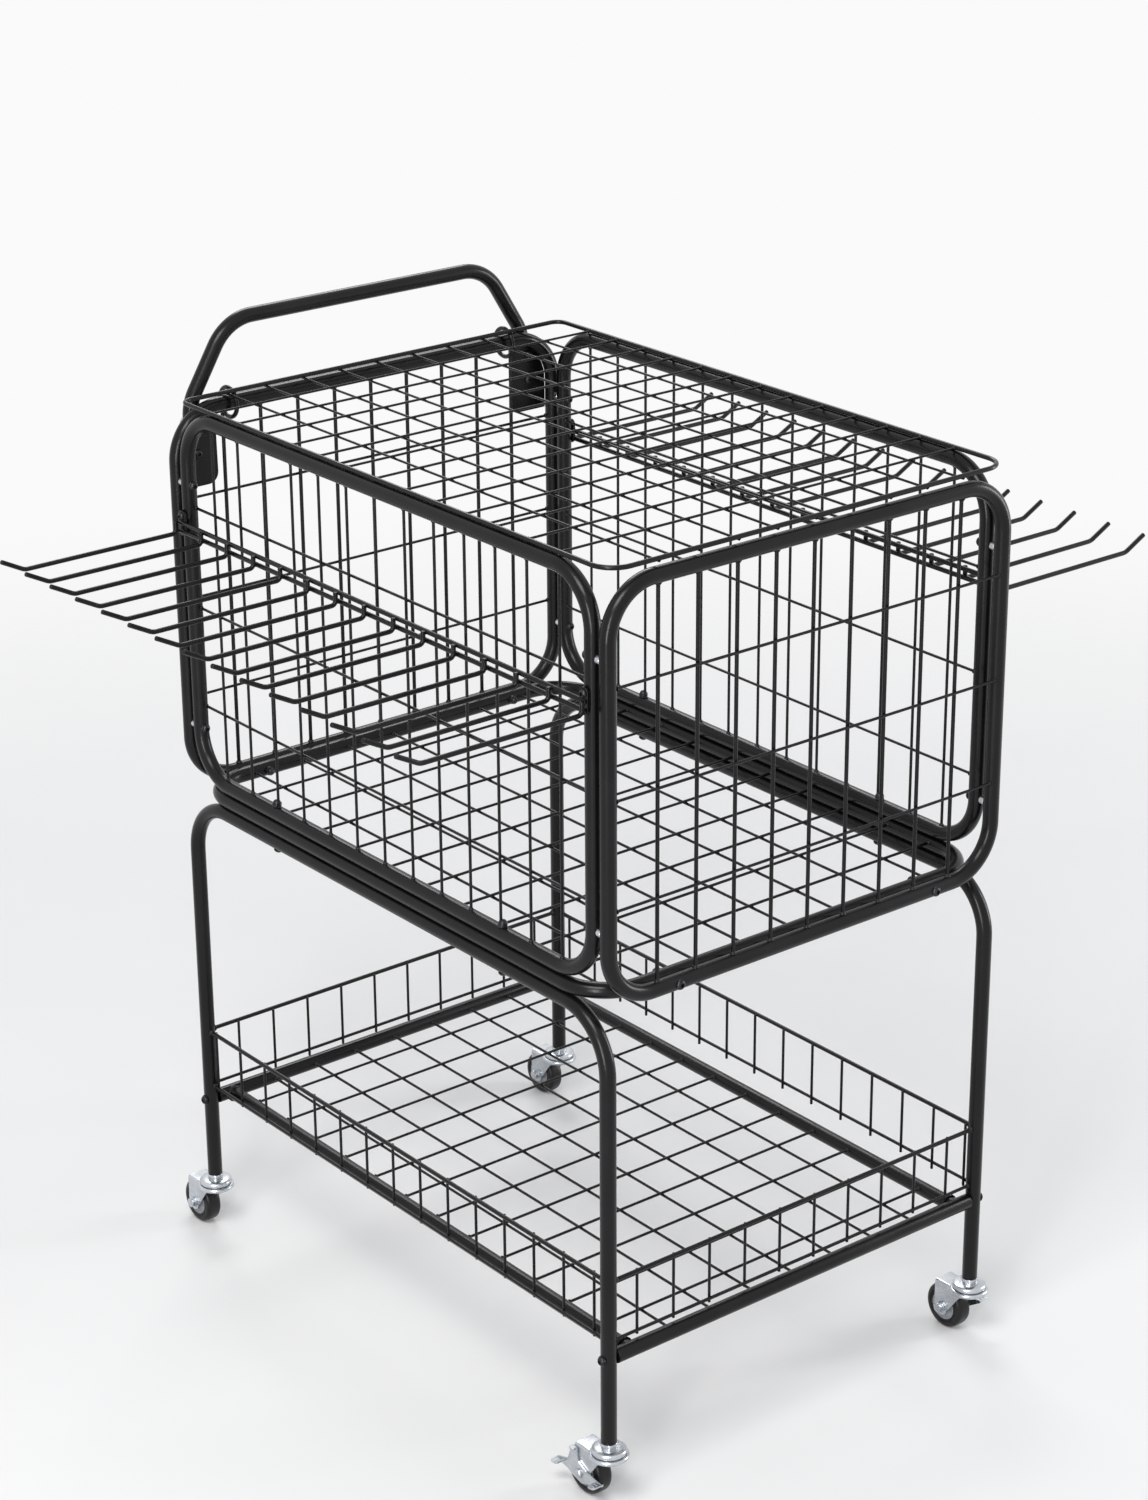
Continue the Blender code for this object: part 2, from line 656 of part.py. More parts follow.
def make_handle_bolt(name, x, z, surface):
    """Bolt from inside the basket through plate and handle, with its nut behind."""
    seat = PANEL_Y + TUBE_R - PLATE_T - FIT_GAP
    nut = HANDLE_Y + TUBE_R + FIT_GAP - seat
    profile = bolt_profile(nut, HEAD_D)[:-1]
    profile += [(nut, NUT_AF / 2, "hex"), (nut + NUT_H, NUT_AF / 2, "hex"), (nut + NUT_H, 0.0)]
    bm = bmesh.new()
    add_turned(bm, profile, (x, seat, z), (0, 1, 0), (0, 0, 1), RACE_SIDES)
    place(name, bm, surface)


# Lid

def make_lid(surface):
    """A wire lid: a rounded rod border with the long wires under it and the cross wires let into it."""
    corners = [(-HALF_X, LID_FRONT_Y, LID_Z), (HALF_X, LID_FRONT_Y, LID_Z),
               (HALF_X, LID_REAR_Y, LID_Z), (-HALF_X, LID_REAR_Y, LID_Z)]
    bm = bmesh.new()
    add_bar(bm, bent(corners, [LID_CORNER_R] * 4, 3, True), (0, 0, 1), LID_ROD_D / 2, ROD_SIDES, True)
    wires = bmesh.new()
    low = LID_Z - (LID_ROD_D + LID_WIRE_D) / 2 + WELD
    for x in spread(STAND_W, MESH_PITCH, MESH_EDGE):
        add_rod(wires, (x, LID_FRONT_Y, low), (x, LID_REAR_Y + LID_ROD_D / 2 + LID_WIRE_TAIL, low),
                LID_WIRE_D, (0, 0, 1))
    high = low + LID_WIRE_D + FIT_GAP
    for y in spread(2 * SIDE_Y, MESH_PITCH, MESH_EDGE):
        add_rod(wires, (-HALF_X, y, high), (HALF_X, y, high), LID_WIRE_D, (0, 0, 1))
    combined(bm, wires, "UNION")
    place("lid", bm, surface, HINGE)


def make_lid_ring(name, side, surface):
    """A closed wire ring around the rear wall's top tube, against the lid's rear edge."""
    centre = Vector((side * (HALF_X - RING_INSET), PANEL_Y, PANEL_TOP_Z))
    weld_at = math.atan2(LID_Z - PANEL_TOP_Z, LID_REAR_Y - PANEL_Y)
    path = []
    for k in range(WHEEL_SIDES):
        a = weld_at + 2 * math.pi * k / WHEEL_SIDES
        path.append((centre + Vector((0, math.cos(a), math.sin(a))) * RING_R,
                     Vector((0, -math.sin(a), math.cos(a)))))
    bm = bmesh.new()
    add_bar(bm, path, (1, 0, 0), RING_ROD_D / 2, PIN_SIDES, True)
    place(name, bm, surface, HINGE)


# Casters

def make_stem(name, x, y, surface):
    """The fixed half of the swivel: rivet head, pin, dished race, hexagon and stem."""
    pin_r = KINGPIN_D / 2
    head_r = KINGPIN_HEAD_D / 2
    race_r = RACE_D / 2
    stem_r = STEM_D / 2
    head_z = CROWN_Z - FIT_GAP
    top = RACE_Z + RACE_H
    nut_top = top + STEM_NUT_H
    tip = LEG_Z + STEM_IN
    profile = [(head_z - KINGPIN_HEAD_H, 0.0), (head_z - KINGPIN_HEAD_H, head_r * 0.75), (head_z, head_r),
               (head_z, pin_r), (RACE_Z, pin_r), (RACE_Z, race_r), (RACE_Z + RACE_H * 0.4, race_r),
               (RACE_Z + RACE_H * 0.75, race_r * 0.88), (top, race_r * 0.62), (top, STEM_NUT_AF / 2, "hex"),
               (nut_top, STEM_NUT_AF / 2, "hex"), (nut_top, stem_r), (tip, stem_r), (tip, 0.0)]
    bm = bmesh.new()
    add_turned(bm, profile, (x, y, 0), (0, 0, 1), (1, 0, 0), RACE_SIDES)
    place(name, bm, surface, (x, y, 0.0))


def make_fork(name, x, y, surface):
    """Pressed fork: a channel bent down into two tapered cheeks, joined to the round crown."""
    crown_r = CROWN_D / 2
    crown_top = CROWN_Z + CROWN_H
    top = CROWN_Z + FORK_T
    back = TRAIL + FORK_EDGE
    section = [(-FORK_OUT, 0.0), (-FORK_OUT, top), (FORK_OUT, top), (FORK_OUT, 0.0),
               (FORK_IN, 0.0), (FORK_IN, CROWN_Z), (-FORK_IN, CROWN_Z), (-FORK_IN, 0.0)]
    section = outline(section, {1: FORK_T, 2: FORK_T}, 2)
    bm = bmesh.new()
    length = back + FORK_EDGE + 2 * CUT_PAST
    add_sheet(bm, section, (x, y + back + CUT_PAST, 0), (1, 0, 0), (0, 0, 1), length)
    low = WHEEL_Z - FORK_EDGE
    toe_z = WHEEL_Z - CHEEK_TOE_DROP
    cheek = [(-FORK_EDGE, top + CUT_PAST), (-FORK_EDGE, CROWN_Z - CHEEK_ROOT_DROP),
             (CHEEK_NECK_X, CROWN_Z - CHEEK_NECK_DROP), (TRAIL - FORK_EDGE, toe_z),
             (TRAIL - CHEEK_TOE_HALF_W, low), (TRAIL + CHEEK_TOE_HALF_W, low), (back, toe_z),
             (back, top + CUT_PAST)]
    cheek = outline(cheek, {2: CHEEK_NECK_R, 3: CHEEK_TOE_R, 6: CHEEK_TOE_R}, 1)
    edge = FORK_OUT + 2 * CUT_PAST
    sides = bmesh.new()
    add_sheet(sides, cheek, (x - edge, y, 0), (0, 1, 0), (0, 0, 1), 2 * edge)
    combined(bm, sides, "INTERSECT")
    crown = bmesh.new()
    profile = [(CROWN_Z, 0.0), (CROWN_Z, crown_r * 0.9), (CROWN_Z + CROWN_H * 0.3, crown_r),
               (CROWN_Z + CROWN_H * 0.7, crown_r), (crown_top, crown_r * 0.93), (crown_top, 0.0)]
    add_turned(crown, profile, (x, y, 0), (0, 0, 1), (1, 0, 0), WHEEL_SIDES)
    combined(bm, crown, "UNION")
    holes = bmesh.new()
    add_bore(holes, (x, y, CROWN_Z - 2 * CUT_PAST), (x, y, crown_top + 2 * CUT_PAST), KINGPIN_D, (1, 0, 0))
    add_bore(holes, (x - edge, y + TRAIL, WHEEL_Z), (x + edge, y + TRAIL, WHEEL_Z), AXLE_D, (0, 0, 1))
    combined(bm, holes, "DIFFERENCE")
    place(name, bm, surface, (x, y, 0.0))


def make_wheel(tag, axle, tyre_surface, hub_surface):
    """Rubber tyre with rounded shoulders on a dished hub; a flat of each faces the floor."""
    round_up = 1 / math.cos(math.pi / WHEEL_SIDES)
    tyre_r = WHEEL_D / 2 * round_up
    half = WHEEL_W / 2
    bore = WHEEL_D / 2 - TYRE_T
    edge = TYRE_SHOULDER
    right = [(half, bore * round_up), (half, tyre_r - edge), (half - edge, tyre_r)]
    bm = bmesh.new()
    profile = [(-a, r) for a, r in right] + right[::-1]
    add_turned(bm, profile, axle, (1, 0, 0), (0, 0, 1), WHEEL_SIDES, 0.5, True)
    place("tyre_" + tag, bm, tyre_surface, axle)

    boss = HUB_BOSS_D / 2
    bearing = AXLE_BORE_R * round_up
    right = [(half + HUB_BOSS_OUT, bearing), (half + HUB_BOSS_OUT, boss),
             (half - HUB_DISH, boss + HUB_BOSS_SLOPE),
             (half - FIT_GAP, (bore - FIT_GAP) * round_up)]
    bm = bmesh.new()
    profile = [(-a, r) for a, r in right] + right[::-1]
    add_turned(bm, profile, axle, (1, 0, 0), (0, 0, 1), WHEEL_SIDES, 0.5, True)
    place("hub_" + tag, bm, hub_surface, axle)


def make_axle(name, swivel, axle, brake_side, surface):
    """Axle bolt; on a braked caster its head holds the lever, and the nut is on the other side."""
    head_side = brake_side if brake_side else 1
    seat = (LEVER_OUT if brake_side else FORK_OUT) + FIT_GAP
    nut = seat + FORK_OUT + FIT_GAP
    head_r = HEAD_D / 2
    shank = AXLE_D / 2
    profile = [(-HEAD_H, 0.0), (-HEAD_H, head_r * 0.6), (-HEAD_H * 0.5, head_r), (0.0, head_r), (0.0, shank),
               (nut, shank), (nut, NUT_AF / 2, "hex"), (nut + NUT_H, NUT_AF / 2, "hex"), (nut + NUT_H, 0.0)]
    bm = bmesh.new()
    start = Vector(axle) + Vector((head_side * seat, 0, 0))
    add_turned(bm, profile, start, (-head_side, 0, 0), (0, 0, 1), ROD_SIDES, 0.5)
    place(name, bm, surface, swivel)


def make_lever(name, axle, side, turn, surface):
    """Stamped brake lever beside the fork: a rocker plate with a pedal bent out at each end."""
    eye = LEVER_EYE_R
    front, rear, lug = FRONT_PEDAL, REAR_PEDAL, LUG
    plate = [(front[0], front[1] + 1), (front[0], front[1] - 2), (-14.0, -3.0), (-eye * 0.8, -eye),
             (eye * 0.8, -eye), (16.0, -3.0), (rear[0], rear[1] - 2), (rear[0], rear[1] + 1), (19.0, 7.0),
             (lug[0] + LUG_HALF_L, lug[1] - 2), (lug[0] - LUG_HALF_L, lug[1] + 1), (5.0, 12.0), (-10.0, 9.0)]
    plate = outline(plate, {2: LEVER_WAIST_R, 3: LEVER_EDGE_R, 4: LEVER_EDGE_R, 5: LEVER_WAIST_R,
                            8: LEVER_EDGE_R}, 1)
    x, y, z = axle
    start = x + min(side * LEVER_IN, side * LEVER_OUT)
    bm = bmesh.new()
    add_sheet(bm, plate, (start, y, z), (0, 1, 0), (0, 0, 1), LEVER_T)
    pedals = ((front, (front[0] + PEDAL_L, front[1] - FRONT_PEDAL_FALL), FRONT_PEDAL_OUT),
              ((rear[0] - PEDAL_L, rear[1] + REAR_PEDAL_FALL), rear, REAR_PEDAL_OUT),
              ((lug[0] - 3.5, lug[1] - 0.5), (lug[0] + 3.5, lug[1] - 2.5), LUG_OUT))
    for first, last, out in pedals:
        along = Vector((0, last[0] - first[0], last[1] - first[1])).normalized()
        up = Vector((1, 0, 0)).cross(along)
        root = x + side * (LEVER_IN + PEDAL_SET)
        quad = []
        for spot, lift in ((first, -1), (last, -1), (last, 1), (first, 1)):
            quad.append(Vector((root, y + spot[0], z + spot[1])) + up * lift * LEVER_T / 2)
        step = Vector((side * (out - PEDAL_SET), 0, 0))
        pedal = bmesh.new()
        add_rings(pedal, [quad, [p + step for p in quad]])
        combined(bm, pedal, "UNION")
    holes = bmesh.new()
    inner, outer = LEVER_IN - CUT_PAST, LEVER_OUT + CUT_PAST
    add_bore(holes, (x + side * inner, y, z), (x + side * outer, y, z), AXLE_D, (0, 0, 1))
    combined(bm, holes, "DIFFERENCE")
    place(name, bm, surface, axle, turn)


def make_caster(tag, x, y, surfaces, brake_side=0, lever_turn=0.0):
    """A swivel caster under one leg; brake_side says which side carries the lever, if any."""
    swivel = (x, y, 0.0)
    axle = (x, y + TRAIL, WHEEL_Z)
    zinc = surfaces["zinc"]
    make_stem("caster_stem_" + tag, x, y, zinc)
    make_fork("caster_fork_" + tag, x, y, zinc)
    make_wheel(tag, axle, surfaces["tyre"], surfaces["hub"])
    make_axle("axle_" + tag, swivel, axle, brake_side, zinc)
    if brake_side:
        make_lever("brake_lever_" + tag, axle, brake_side, lever_turn, zinc)


def main():
    for old in list(bpy.data.objects):
        bpy.data.objects.remove(old)
    surfaces = make_materials()
    coat = surfaces["coat"]
    zinc = surfaces["zinc"]
    for word, side in (("left", -1), ("right", 1)):
        make_leg_frame("leg_frame_" + word, side, coat)
        make_side_panel("side_panel_" + word, side, coat)
        make_hook_rack("hook_rack_" + word, side, coat)
        make_handle_plate("handle_plate_" + word, side, coat)
        make_lid_ring("lid_ring_" + word, side, coat)
        for level, z in zip(("upper", "lower"), handle_bolt_heights()):
            make_handle_bolt(f"handle_bolt_{word}_{level}", side * HANDLE_X, z, zinc)
        for end, y in (("front", -LEG_Y), ("rear", LEG_Y)):
            make_tray_bolt(f"tray_bolt_{end}_{word}", side, y, zinc)
    make_tray_floor(coat)
    make_tray_walls(coat)
    make_base(coat)
    make_end_panel("end_panel_front", -1, coat)
    make_end_panel("end_panel_rear", 1, coat)
    make_handle(coat)
    make_lid(coat)
    make_caster("front_left", -HALF_X, -LEG_Y, surfaces, -1, LEVER_SWING)
    make_caster("front_right", HALF_X, -LEG_Y, surfaces, 1)
    make_caster("rear_left", -HALF_X, LEG_Y, surfaces)
    make_caster("rear_right", HALF_X, LEG_Y, surfaces)


main()
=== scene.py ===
"""Dressed model of the wheeled ball cart: smooth tubes, welded wires, fasteners and their finishes."""

import math
import random

import bmesh
import bpy
from mathutils import Matrix, Vector

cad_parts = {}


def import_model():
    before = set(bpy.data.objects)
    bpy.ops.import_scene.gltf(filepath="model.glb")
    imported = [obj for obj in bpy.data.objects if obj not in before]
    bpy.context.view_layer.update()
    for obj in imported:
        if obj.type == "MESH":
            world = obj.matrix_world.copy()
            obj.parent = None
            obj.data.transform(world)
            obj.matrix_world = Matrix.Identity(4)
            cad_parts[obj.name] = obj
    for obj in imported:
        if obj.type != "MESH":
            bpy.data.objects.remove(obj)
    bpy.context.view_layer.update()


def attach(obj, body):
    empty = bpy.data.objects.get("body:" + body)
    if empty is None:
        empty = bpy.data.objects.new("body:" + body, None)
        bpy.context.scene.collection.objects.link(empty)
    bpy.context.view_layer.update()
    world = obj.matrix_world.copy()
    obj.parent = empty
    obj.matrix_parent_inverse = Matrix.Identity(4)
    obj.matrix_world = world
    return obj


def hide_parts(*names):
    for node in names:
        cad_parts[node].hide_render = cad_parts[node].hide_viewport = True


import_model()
random.seed(7)


# Node materials

def nodes_of(name):
    made = bpy.data.materials.new(name)
    made.use_nodes = True
    tree = made.node_tree
    return made, tree, tree.nodes["Principled BSDF"]


def fill(node, values):
    """Set a node's inputs by name."""
    for name, value in values.items():
        node.inputs[name].default_value = value


def noise(tree, scale, detail=3.0, roughness=0.5, vector=None):
    """Noise in object space at a scale in cycles per metre."""
    if vector is None:
        vector = tree.nodes.new("ShaderNodeTexCoord").outputs["Object"]
    made = tree.nodes.new("ShaderNodeTexNoise")
    fill(made, {"Scale": scale, "Detail": detail, "Roughness": roughness})
    tree.links.new(vector, made.inputs["Vector"])
    return made.outputs["Fac"]


def ramp(tree, value, stops):
    """A colour ramp; stops are (position, colour)."""
    made = tree.nodes.new("ShaderNodeValToRGB")
    while len(made.color_ramp.elements) < len(stops):
        made.color_ramp.elements.new(0.5)
    for element, (position, colour) in zip(made.color_ramp.elements, stops):
        element.position = position
        element.color = (*colour, 1.0)
    tree.links.new(value, made.inputs["Fac"])
    return made.outputs["Color"]


def remap(tree, value, low, high, to_low, to_high):
    made = tree.nodes.new("ShaderNodeMapRange")
    fill(made, {"From Min": low, "From Max": high, "To Min": to_low, "To Max": to_high})
    tree.links.new(value, made.inputs["Value"])
    return made.outputs["Result"]


def bump(tree, height, strength, distance, normal=None):
    made = tree.nodes.new("ShaderNodeBump")
    fill(made, {"Strength": strength, "Distance": distance})
    tree.links.new(height, made.inputs["Height"])
    if normal is not None:
        tree.links.new(normal, made.inputs["Normal"])
    return made.outputs["Normal"]


def cover(tree, shader, value, stops, to_low, to_high):
    """Base colour and roughness that follow one noise."""
    tree.links.new(ramp(tree, value, stops), shader.inputs["Base Color"])
    tree.links.new(remap(tree, value, 0.3, 0.7, to_low, to_high), shader.inputs["Roughness"])


def powder_coat():
    """Satin black powder coat with a fine orange peel, and a little dust and handling wear."""
    made, tree, shader = nodes_of("black_powder_coat")
    cloud = noise(tree, 14.0, 4.0)
    grain = noise(tree, 900.0, 2.0)
    peel = noise(tree, 420.0, 2.0)
    stops = [(0.32, (0.0028, 0.0028, 0.0031)), (0.7, (0.0055, 0.0055, 0.0058))]
    cover(tree, shader, cloud, stops, 0.22, 0.30)
    normal = bump(tree, peel, 0.14, 0.0003)
    tree.links.new(bump(tree, grain, 0.08, 0.0002, normal), shader.inputs["Normal"])
    shader.inputs["Specular IOR Level"].default_value = 0.24
    return made


def weld_coat():
    """The same coat over a rippled weld."""
    made, tree, shader = nodes_of("coated_weld")
    lumps = noise(tree, 700.0, 3.0, 0.6)
    stops = [(0.3, (0.0028, 0.0028, 0.0031)), (0.75, (0.0070, 0.0070, 0.0073))]
    cover(tree, shader, lumps, stops, 0.3, 0.42)
    tree.links.new(bump(tree, lumps, 0.6, 0.0008), shader.inputs["Normal"])
    shader.inputs["Specular IOR Level"].default_value = 0.24
    return made


def zinc_plate(name, tint, low, high):
    """Bright zinc with faint clouding, press marks and hairline scratches."""
    made, tree, shader = nodes_of(name)
    cloud = noise(tree, 60.0, 4.0)
    stretch = tree.nodes.new("ShaderNodeMapping")
    stretch.inputs["Scale"].default_value = (30.0, 30.0, 900.0)
    tree.links.new(tree.nodes.new("ShaderNodeTexCoord").outputs["Object"], stretch.inputs["Vector"])
    lines = noise(tree, 1.0, 3.0, 0.6, stretch.outputs["Vector"])
    dark = tuple(c * 0.72 for c in tint)
    tree.links.new(ramp(tree, cloud, [(0.3, dark), (0.72, tint)]), shader.inputs["Base Color"])
    tree.links.new(remap(tree, lines, 0.3, 0.7, low, high), shader.inputs["Roughness"])
    normal = bump(tree, lines, 0.02, 0.0003)
    tree.links.new(bump(tree, cloud, 0.04, 0.0008, normal), shader.inputs["Normal"])
    shader.inputs["Metallic"].default_value = 1.0
    return made


def black_steel():
    """Blackened steel of bolts and caps, slightly glossier than the tubes."""
    made, tree, shader = nodes_of("black_steel")
    cloud = noise(tree, 150.0, 3.0)
    stops = [(0.3, (0.012, 0.012, 0.014)), (0.72, (0.032, 0.032, 0.036))]
    cover(tree, shader, cloud, stops, 0.22, 0.36)
    tree.links.new(bump(tree, cloud, 0.1, 0.0004), shader.inputs["Normal"])
    shader.inputs["Metallic"].default_value = 0.6
    return made


def tyre_rubber():
    """Black rubber with faint dust in random patches."""
    made, tree, shader = nodes_of("black_rubber")
    cloud = noise(tree, 120.0, 4.0, 0.6)
    grain = noise(tree, 1500.0, 2.0)
    stops = [(0.35, (0.0035, 0.0035, 0.0040)), (0.75, (0.0090, 0.0090, 0.0095))]
    cover(tree, shader, cloud, stops, 0.28, 0.42)
    tree.links.new(bump(tree, grain, 0.10, 0.0003), shader.inputs["Normal"])
    shader.inputs["Specular IOR Level"].default_value = 0.3
    return made


def hub_nylon():
    """Grey moulded nylon with a fine mould texture."""
    made, tree, shader = nodes_of("grey_nylon")
    cloud = noise(tree, 90.0, 3.0)
    grain = noise(tree, 1800.0, 2.0)
    stops = [(0.3, (0.19, 0.20, 0.22)), (0.75, (0.27, 0.28, 0.30))]
    cover(tree, shader, cloud, stops, 0.38, 0.5)
    tree.links.new(bump(tree, grain, 0.12, 0.0002), shader.inputs["Normal"])
    return made


COAT = powder_coat()
WELD = weld_coat()
ZINC = zinc_plate("bright_zinc", (0.62, 0.65, 0.69), 0.2, 0.32)
BOLT = black_steel()
TYRE = tyre_rubber()
HUB = hub_nylon()


# Paths, as lists of (place, direction)

def arc_at(before, corner, after, radius, steps):
    """Places and directions along the arc that rounds a corner."""
    a = (corner - before).normalized()
    b = (after - corner).normalized()
    turn = a.angle(b)
    side = (b - a * math.cos(turn)).normalized()
    start = corner - a * radius * math.tan(turn / 2)
    arc = []
    for k in range(steps + 1):
        t = turn * k / steps
        spot = start + side * radius * (1 - math.cos(t)) + a * radius * math.sin(t)
        arc.append((spot, a * math.cos(t) + side * math.sin(t)))
    return arc


def bent(points, radii, steps=14, closed=False):
    """Points and directions along a planar path with rounded corners."""
    points = [Vector(p) for p in points]
    path = []
    if closed:
        corners = list(zip([points[-1]] + points[:-1], points, points[1:] + [points[0]]))
    else:
        corners = list(zip(points, points[1:], points[2:]))
        path.append((points[0], (points[1] - points[0]).normalized()))
    for (first, corner, last), radius in zip(corners, radii):
        path.extend(arc_at(first, corner, last, radius, steps))
    if not closed:
        path.append((points[-1], (points[-1] - points[-2]).normalized()))
    return path


def chord(radius, offset):
    return math.sqrt(max(radius ** 2 - offset ** 2, 0.0))


def frame_reach(half_u, half_v, bend, u):
    """Distance from the middle to the centreline of a rounded frame, measured at u."""
    return half_v - bend + chord(bend, max(abs(u) - (half_u - bend), 0.0))


def spread(span, pitch, edge):
    """Places at a pitch, centred in a span, none nearer its ends than the edge."""
    count = int((span - 2 * edge) // pitch) + 1
    return [(i - (count - 1) / 2) * pitch for i in range(count)]


# Solids

def skin(bm, rings, closed=False, smooth=True):
    """Faces between one ring and the next, with caps on an open run; a ring of one point is a tip."""
    made = [[bm.verts.new(p) for p in ring] for ring in rings]
    pairs = list(zip(made[:-1], made[1:]))
    if closed:
        pairs.append((made[-1], made[0]))
    for first, second in pairs:
        count = max(len(first), len(second))
        for k in range(count):
            n = (k + 1) % count
            corners = [first[k % len(first)], first[n % len(first)],
                       second[n % len(second)], second[k % len(second)]]
            bm.faces.new(list(dict.fromkeys(corners))).smooth = smooth
    if not closed:
        for ring in (made[0], made[-1]):
            if len(ring) > 2:
                bm.faces.new(ring)


def sweep(bm, path, normal, radius, sides=20, closed=False, rounded=0.0):
    """A round bar along a planar path; rounded is the radius of its end edges."""
    normal = Vector(normal)
    turns = [2 * math.pi * k / sides for k in range(sides)]
    stations = [(spot, along, radius) for spot, along in path]
    if rounded:
        first_spot, first_along = path[0]
        last_spot, last_along = path[-1]
        stations = stations[1:-1]
        for k in range(5):
            t = math.pi / 2 * k / 4
            size = radius - rounded * (1 - math.cos(t))
            inset = rounded * (1 - math.sin(t))
            stations.insert(0, (first_spot + first_along * inset, first_along, size))
            stations.append((last_spot - last_along * inset, last_along, size))
    rings = []
    for spot, along, size in stations:
        across = along.cross(normal)
        rings.append([spot + (normal * math.cos(a) + across * math.sin(a)) * size for a in turns])
    skin(bm, rings, closed)


def rod(bm, start, end, radius, sides=12, rounded=0.0):
    start = Vector(start)
    end = Vector(end)
    along = (end - start).normalized()
    normal = along.orthogonal().normalized()
    sweep(bm, [(start, along), (end, along)], normal, radius, sides, False, rounded)


def turned(bm, profile, origin, axis, sides=32, closed=False):
    """Turn a profile of (distance along the axis, radius) about an axis."""
    origin = Vector(origin)
    axis = Vector(axis).normalized()
    u = axis.orthogonal().normalized()
    v = axis.cross(u)
    rings = []
    for along, radius in profile:
        centre = origin + axis * along
        if radius <= 0:
            rings.append([centre])
            continue
        turns = [2 * math.pi * k / sides for k in range(sides)]
        rings.append([centre + (u * math.cos(a) + v * math.sin(a)) * radius for a in turns])
    skin(bm, rings, closed)


def hexagon(bm, origin, axis, flats, height, first=None, chamfer=0.0006):
    """A hexagonal nut body with chamfered corners."""
    origin = Vector(origin)
    axis = Vector(axis).normalized()
    u = Vector(first) if first is not None else axis.orthogonal().normalized()
    v = axis.cross(u)
    corner = flats / 2 / math.cos(math.pi / 6)

    def ring(along, size):
        points = []
        for k in range(24):
            a = 2 * math.pi * k / 24
            flat = flats / 2 / math.cos((a % (math.pi / 3)) - math.pi / 6)
            reach = min(flat, size)
            points.append(origin + axis * along + (u * math.cos(a) + v * math.sin(a)) * reach)
        return points

    spare = corner - flats / 2
    skin(bm, [ring(0, flats / 2 + spare * 0.35), ring(chamfer, corner),
              ring(height - chamfer, corner), ring(height, flats / 2 + spare * 0.1)], False, False)


def bead(bm, centre, axis, radius, length, sides, seed):
    """A slightly uneven weld collar around a wire where it meets a tube."""
    centre = Vector(centre)
    axis = Vector(axis).normalized()
    u = axis.orthogonal().normalized()
    v = axis.cross(u)
    shake = random.Random(seed)
    rings = []
    for along, size in ((0.0, 1.0), (0.35, 0.86), (0.7, 0.64), (1.0, 0.40)):
        ring = []
        for k in range(sides):
            a = 2 * math.pi * k / sides
            r = radius * size * (1 + 0.10 * (shake.random() - 0.5))
            ring.append(centre + axis * along * length + (u * math.cos(a) + v * math.sin(a)) * r)
        rings.append(ring)
    skin(bm, rings)


def sheet(bm, shape, origin, u, v, thickness):
    """A flat plate with its outline in the plane of u and v."""
    origin = Vector(origin)
    u = Vector(u)
    v = Vector(v)
    out = u.cross(v) * thickness
    near = [origin + u * a + v * b for a, b in shape]
    skin(bm, [near, [p + out for p in near]], False, False)


def add(name, data):
    made = bpy.data.objects.new(name, data)
    bpy.context.scene.collection.objects.link(made)
    return made


def piece(name, bm, surface, body, *replaced, soften=0.0, slot="coat", angle=40):
    """Make a piece that rides on a body and stands for the listed nodes."""
    bmesh.ops.recalc_face_normals(bm, faces=bm.faces)
    mesh = bpy.data.meshes.new(name)
    bm.to_mesh(mesh)
    bm.free()
    mesh.materials.append(surface)
    made = add(name, mesh)
    if soften:
        bevel = made.modifiers.new("soften", "BEVEL")
        bevel.width = soften
        bevel.segments = 3
        bevel.limit_method = "ANGLE"
        bevel.angle_limit = math.radians(32)
        bevel.harden_normals = True
    mesh.shade_smooth()
    mesh.set_sharp_from_angle(angle=math.radians(angle))
    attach(made, body)
    if replaced:
        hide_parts(*replaced)
    return made


SIDES = ((-1, "left"), (1, "right"))

# Sizes of the cart in metres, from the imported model

MID = -0.0169
GAP = 0.0003
LAYER_GAP = 0.0001
WELD_SINK = 0.0002
TUBE_R = 0.008
ROD_R = 0.0024
WIRE_R = 0.0015
UPRIGHT_R = 0.002
TUBE_SIDES = 28
ROD_SIDES = 16
WIRE_SIDES = 12
BEND_STEPS = 18

HALF_X = 0.245
LEG_Y = 0.347
LEG_Z = 0.0705
LEG_TOP = 0.5251
LEG_R = 0.060

BASE_Z = 0.5414
BASE_Y = 0.3324
BASE_R = 0.050
BASE_PITCH = 0.060
PANEL_Y = 0.3487
PANEL_TOP = 0.9474
PANEL_MID = 0.7444
PANEL_R = 0.052
SIDE_Y = 0.3279
SIDE_Z = 0.5577
SIDE_TOP = 0.9523
MESH_PITCH = 0.0468
MESH_EDGE = 0.040
ROWS = (-0.1085, 0.0, 0.1085)

LID_Z = 0.9630
LID_FRONT = -0.3505
LID_REAR = 0.3354
LID_R = 0.025
LID_REAR_R = 0.012
LID_WIRE_R = 0.00125
LID_WIRE_SINK = 0.0007
LID_WIRE_TAIL = 0.003
RING_R = 0.0155
RING_INSET = 0.066

HANDLE_X = 0.216
HANDLE_Y = 0.3650
HANDLE_TOP = 1.0293
HANDLE_FOOT = 0.8627
SHOULDER_X = 0.1665
SHOULDER_Z = 0.9486
SHOULDER_HIGH_R = 0.054
SHOULDER_LOW_R = 0.050
PLATE_T = 0.003
PLATE_REACH = 0.024
PLATE_R = 0.012

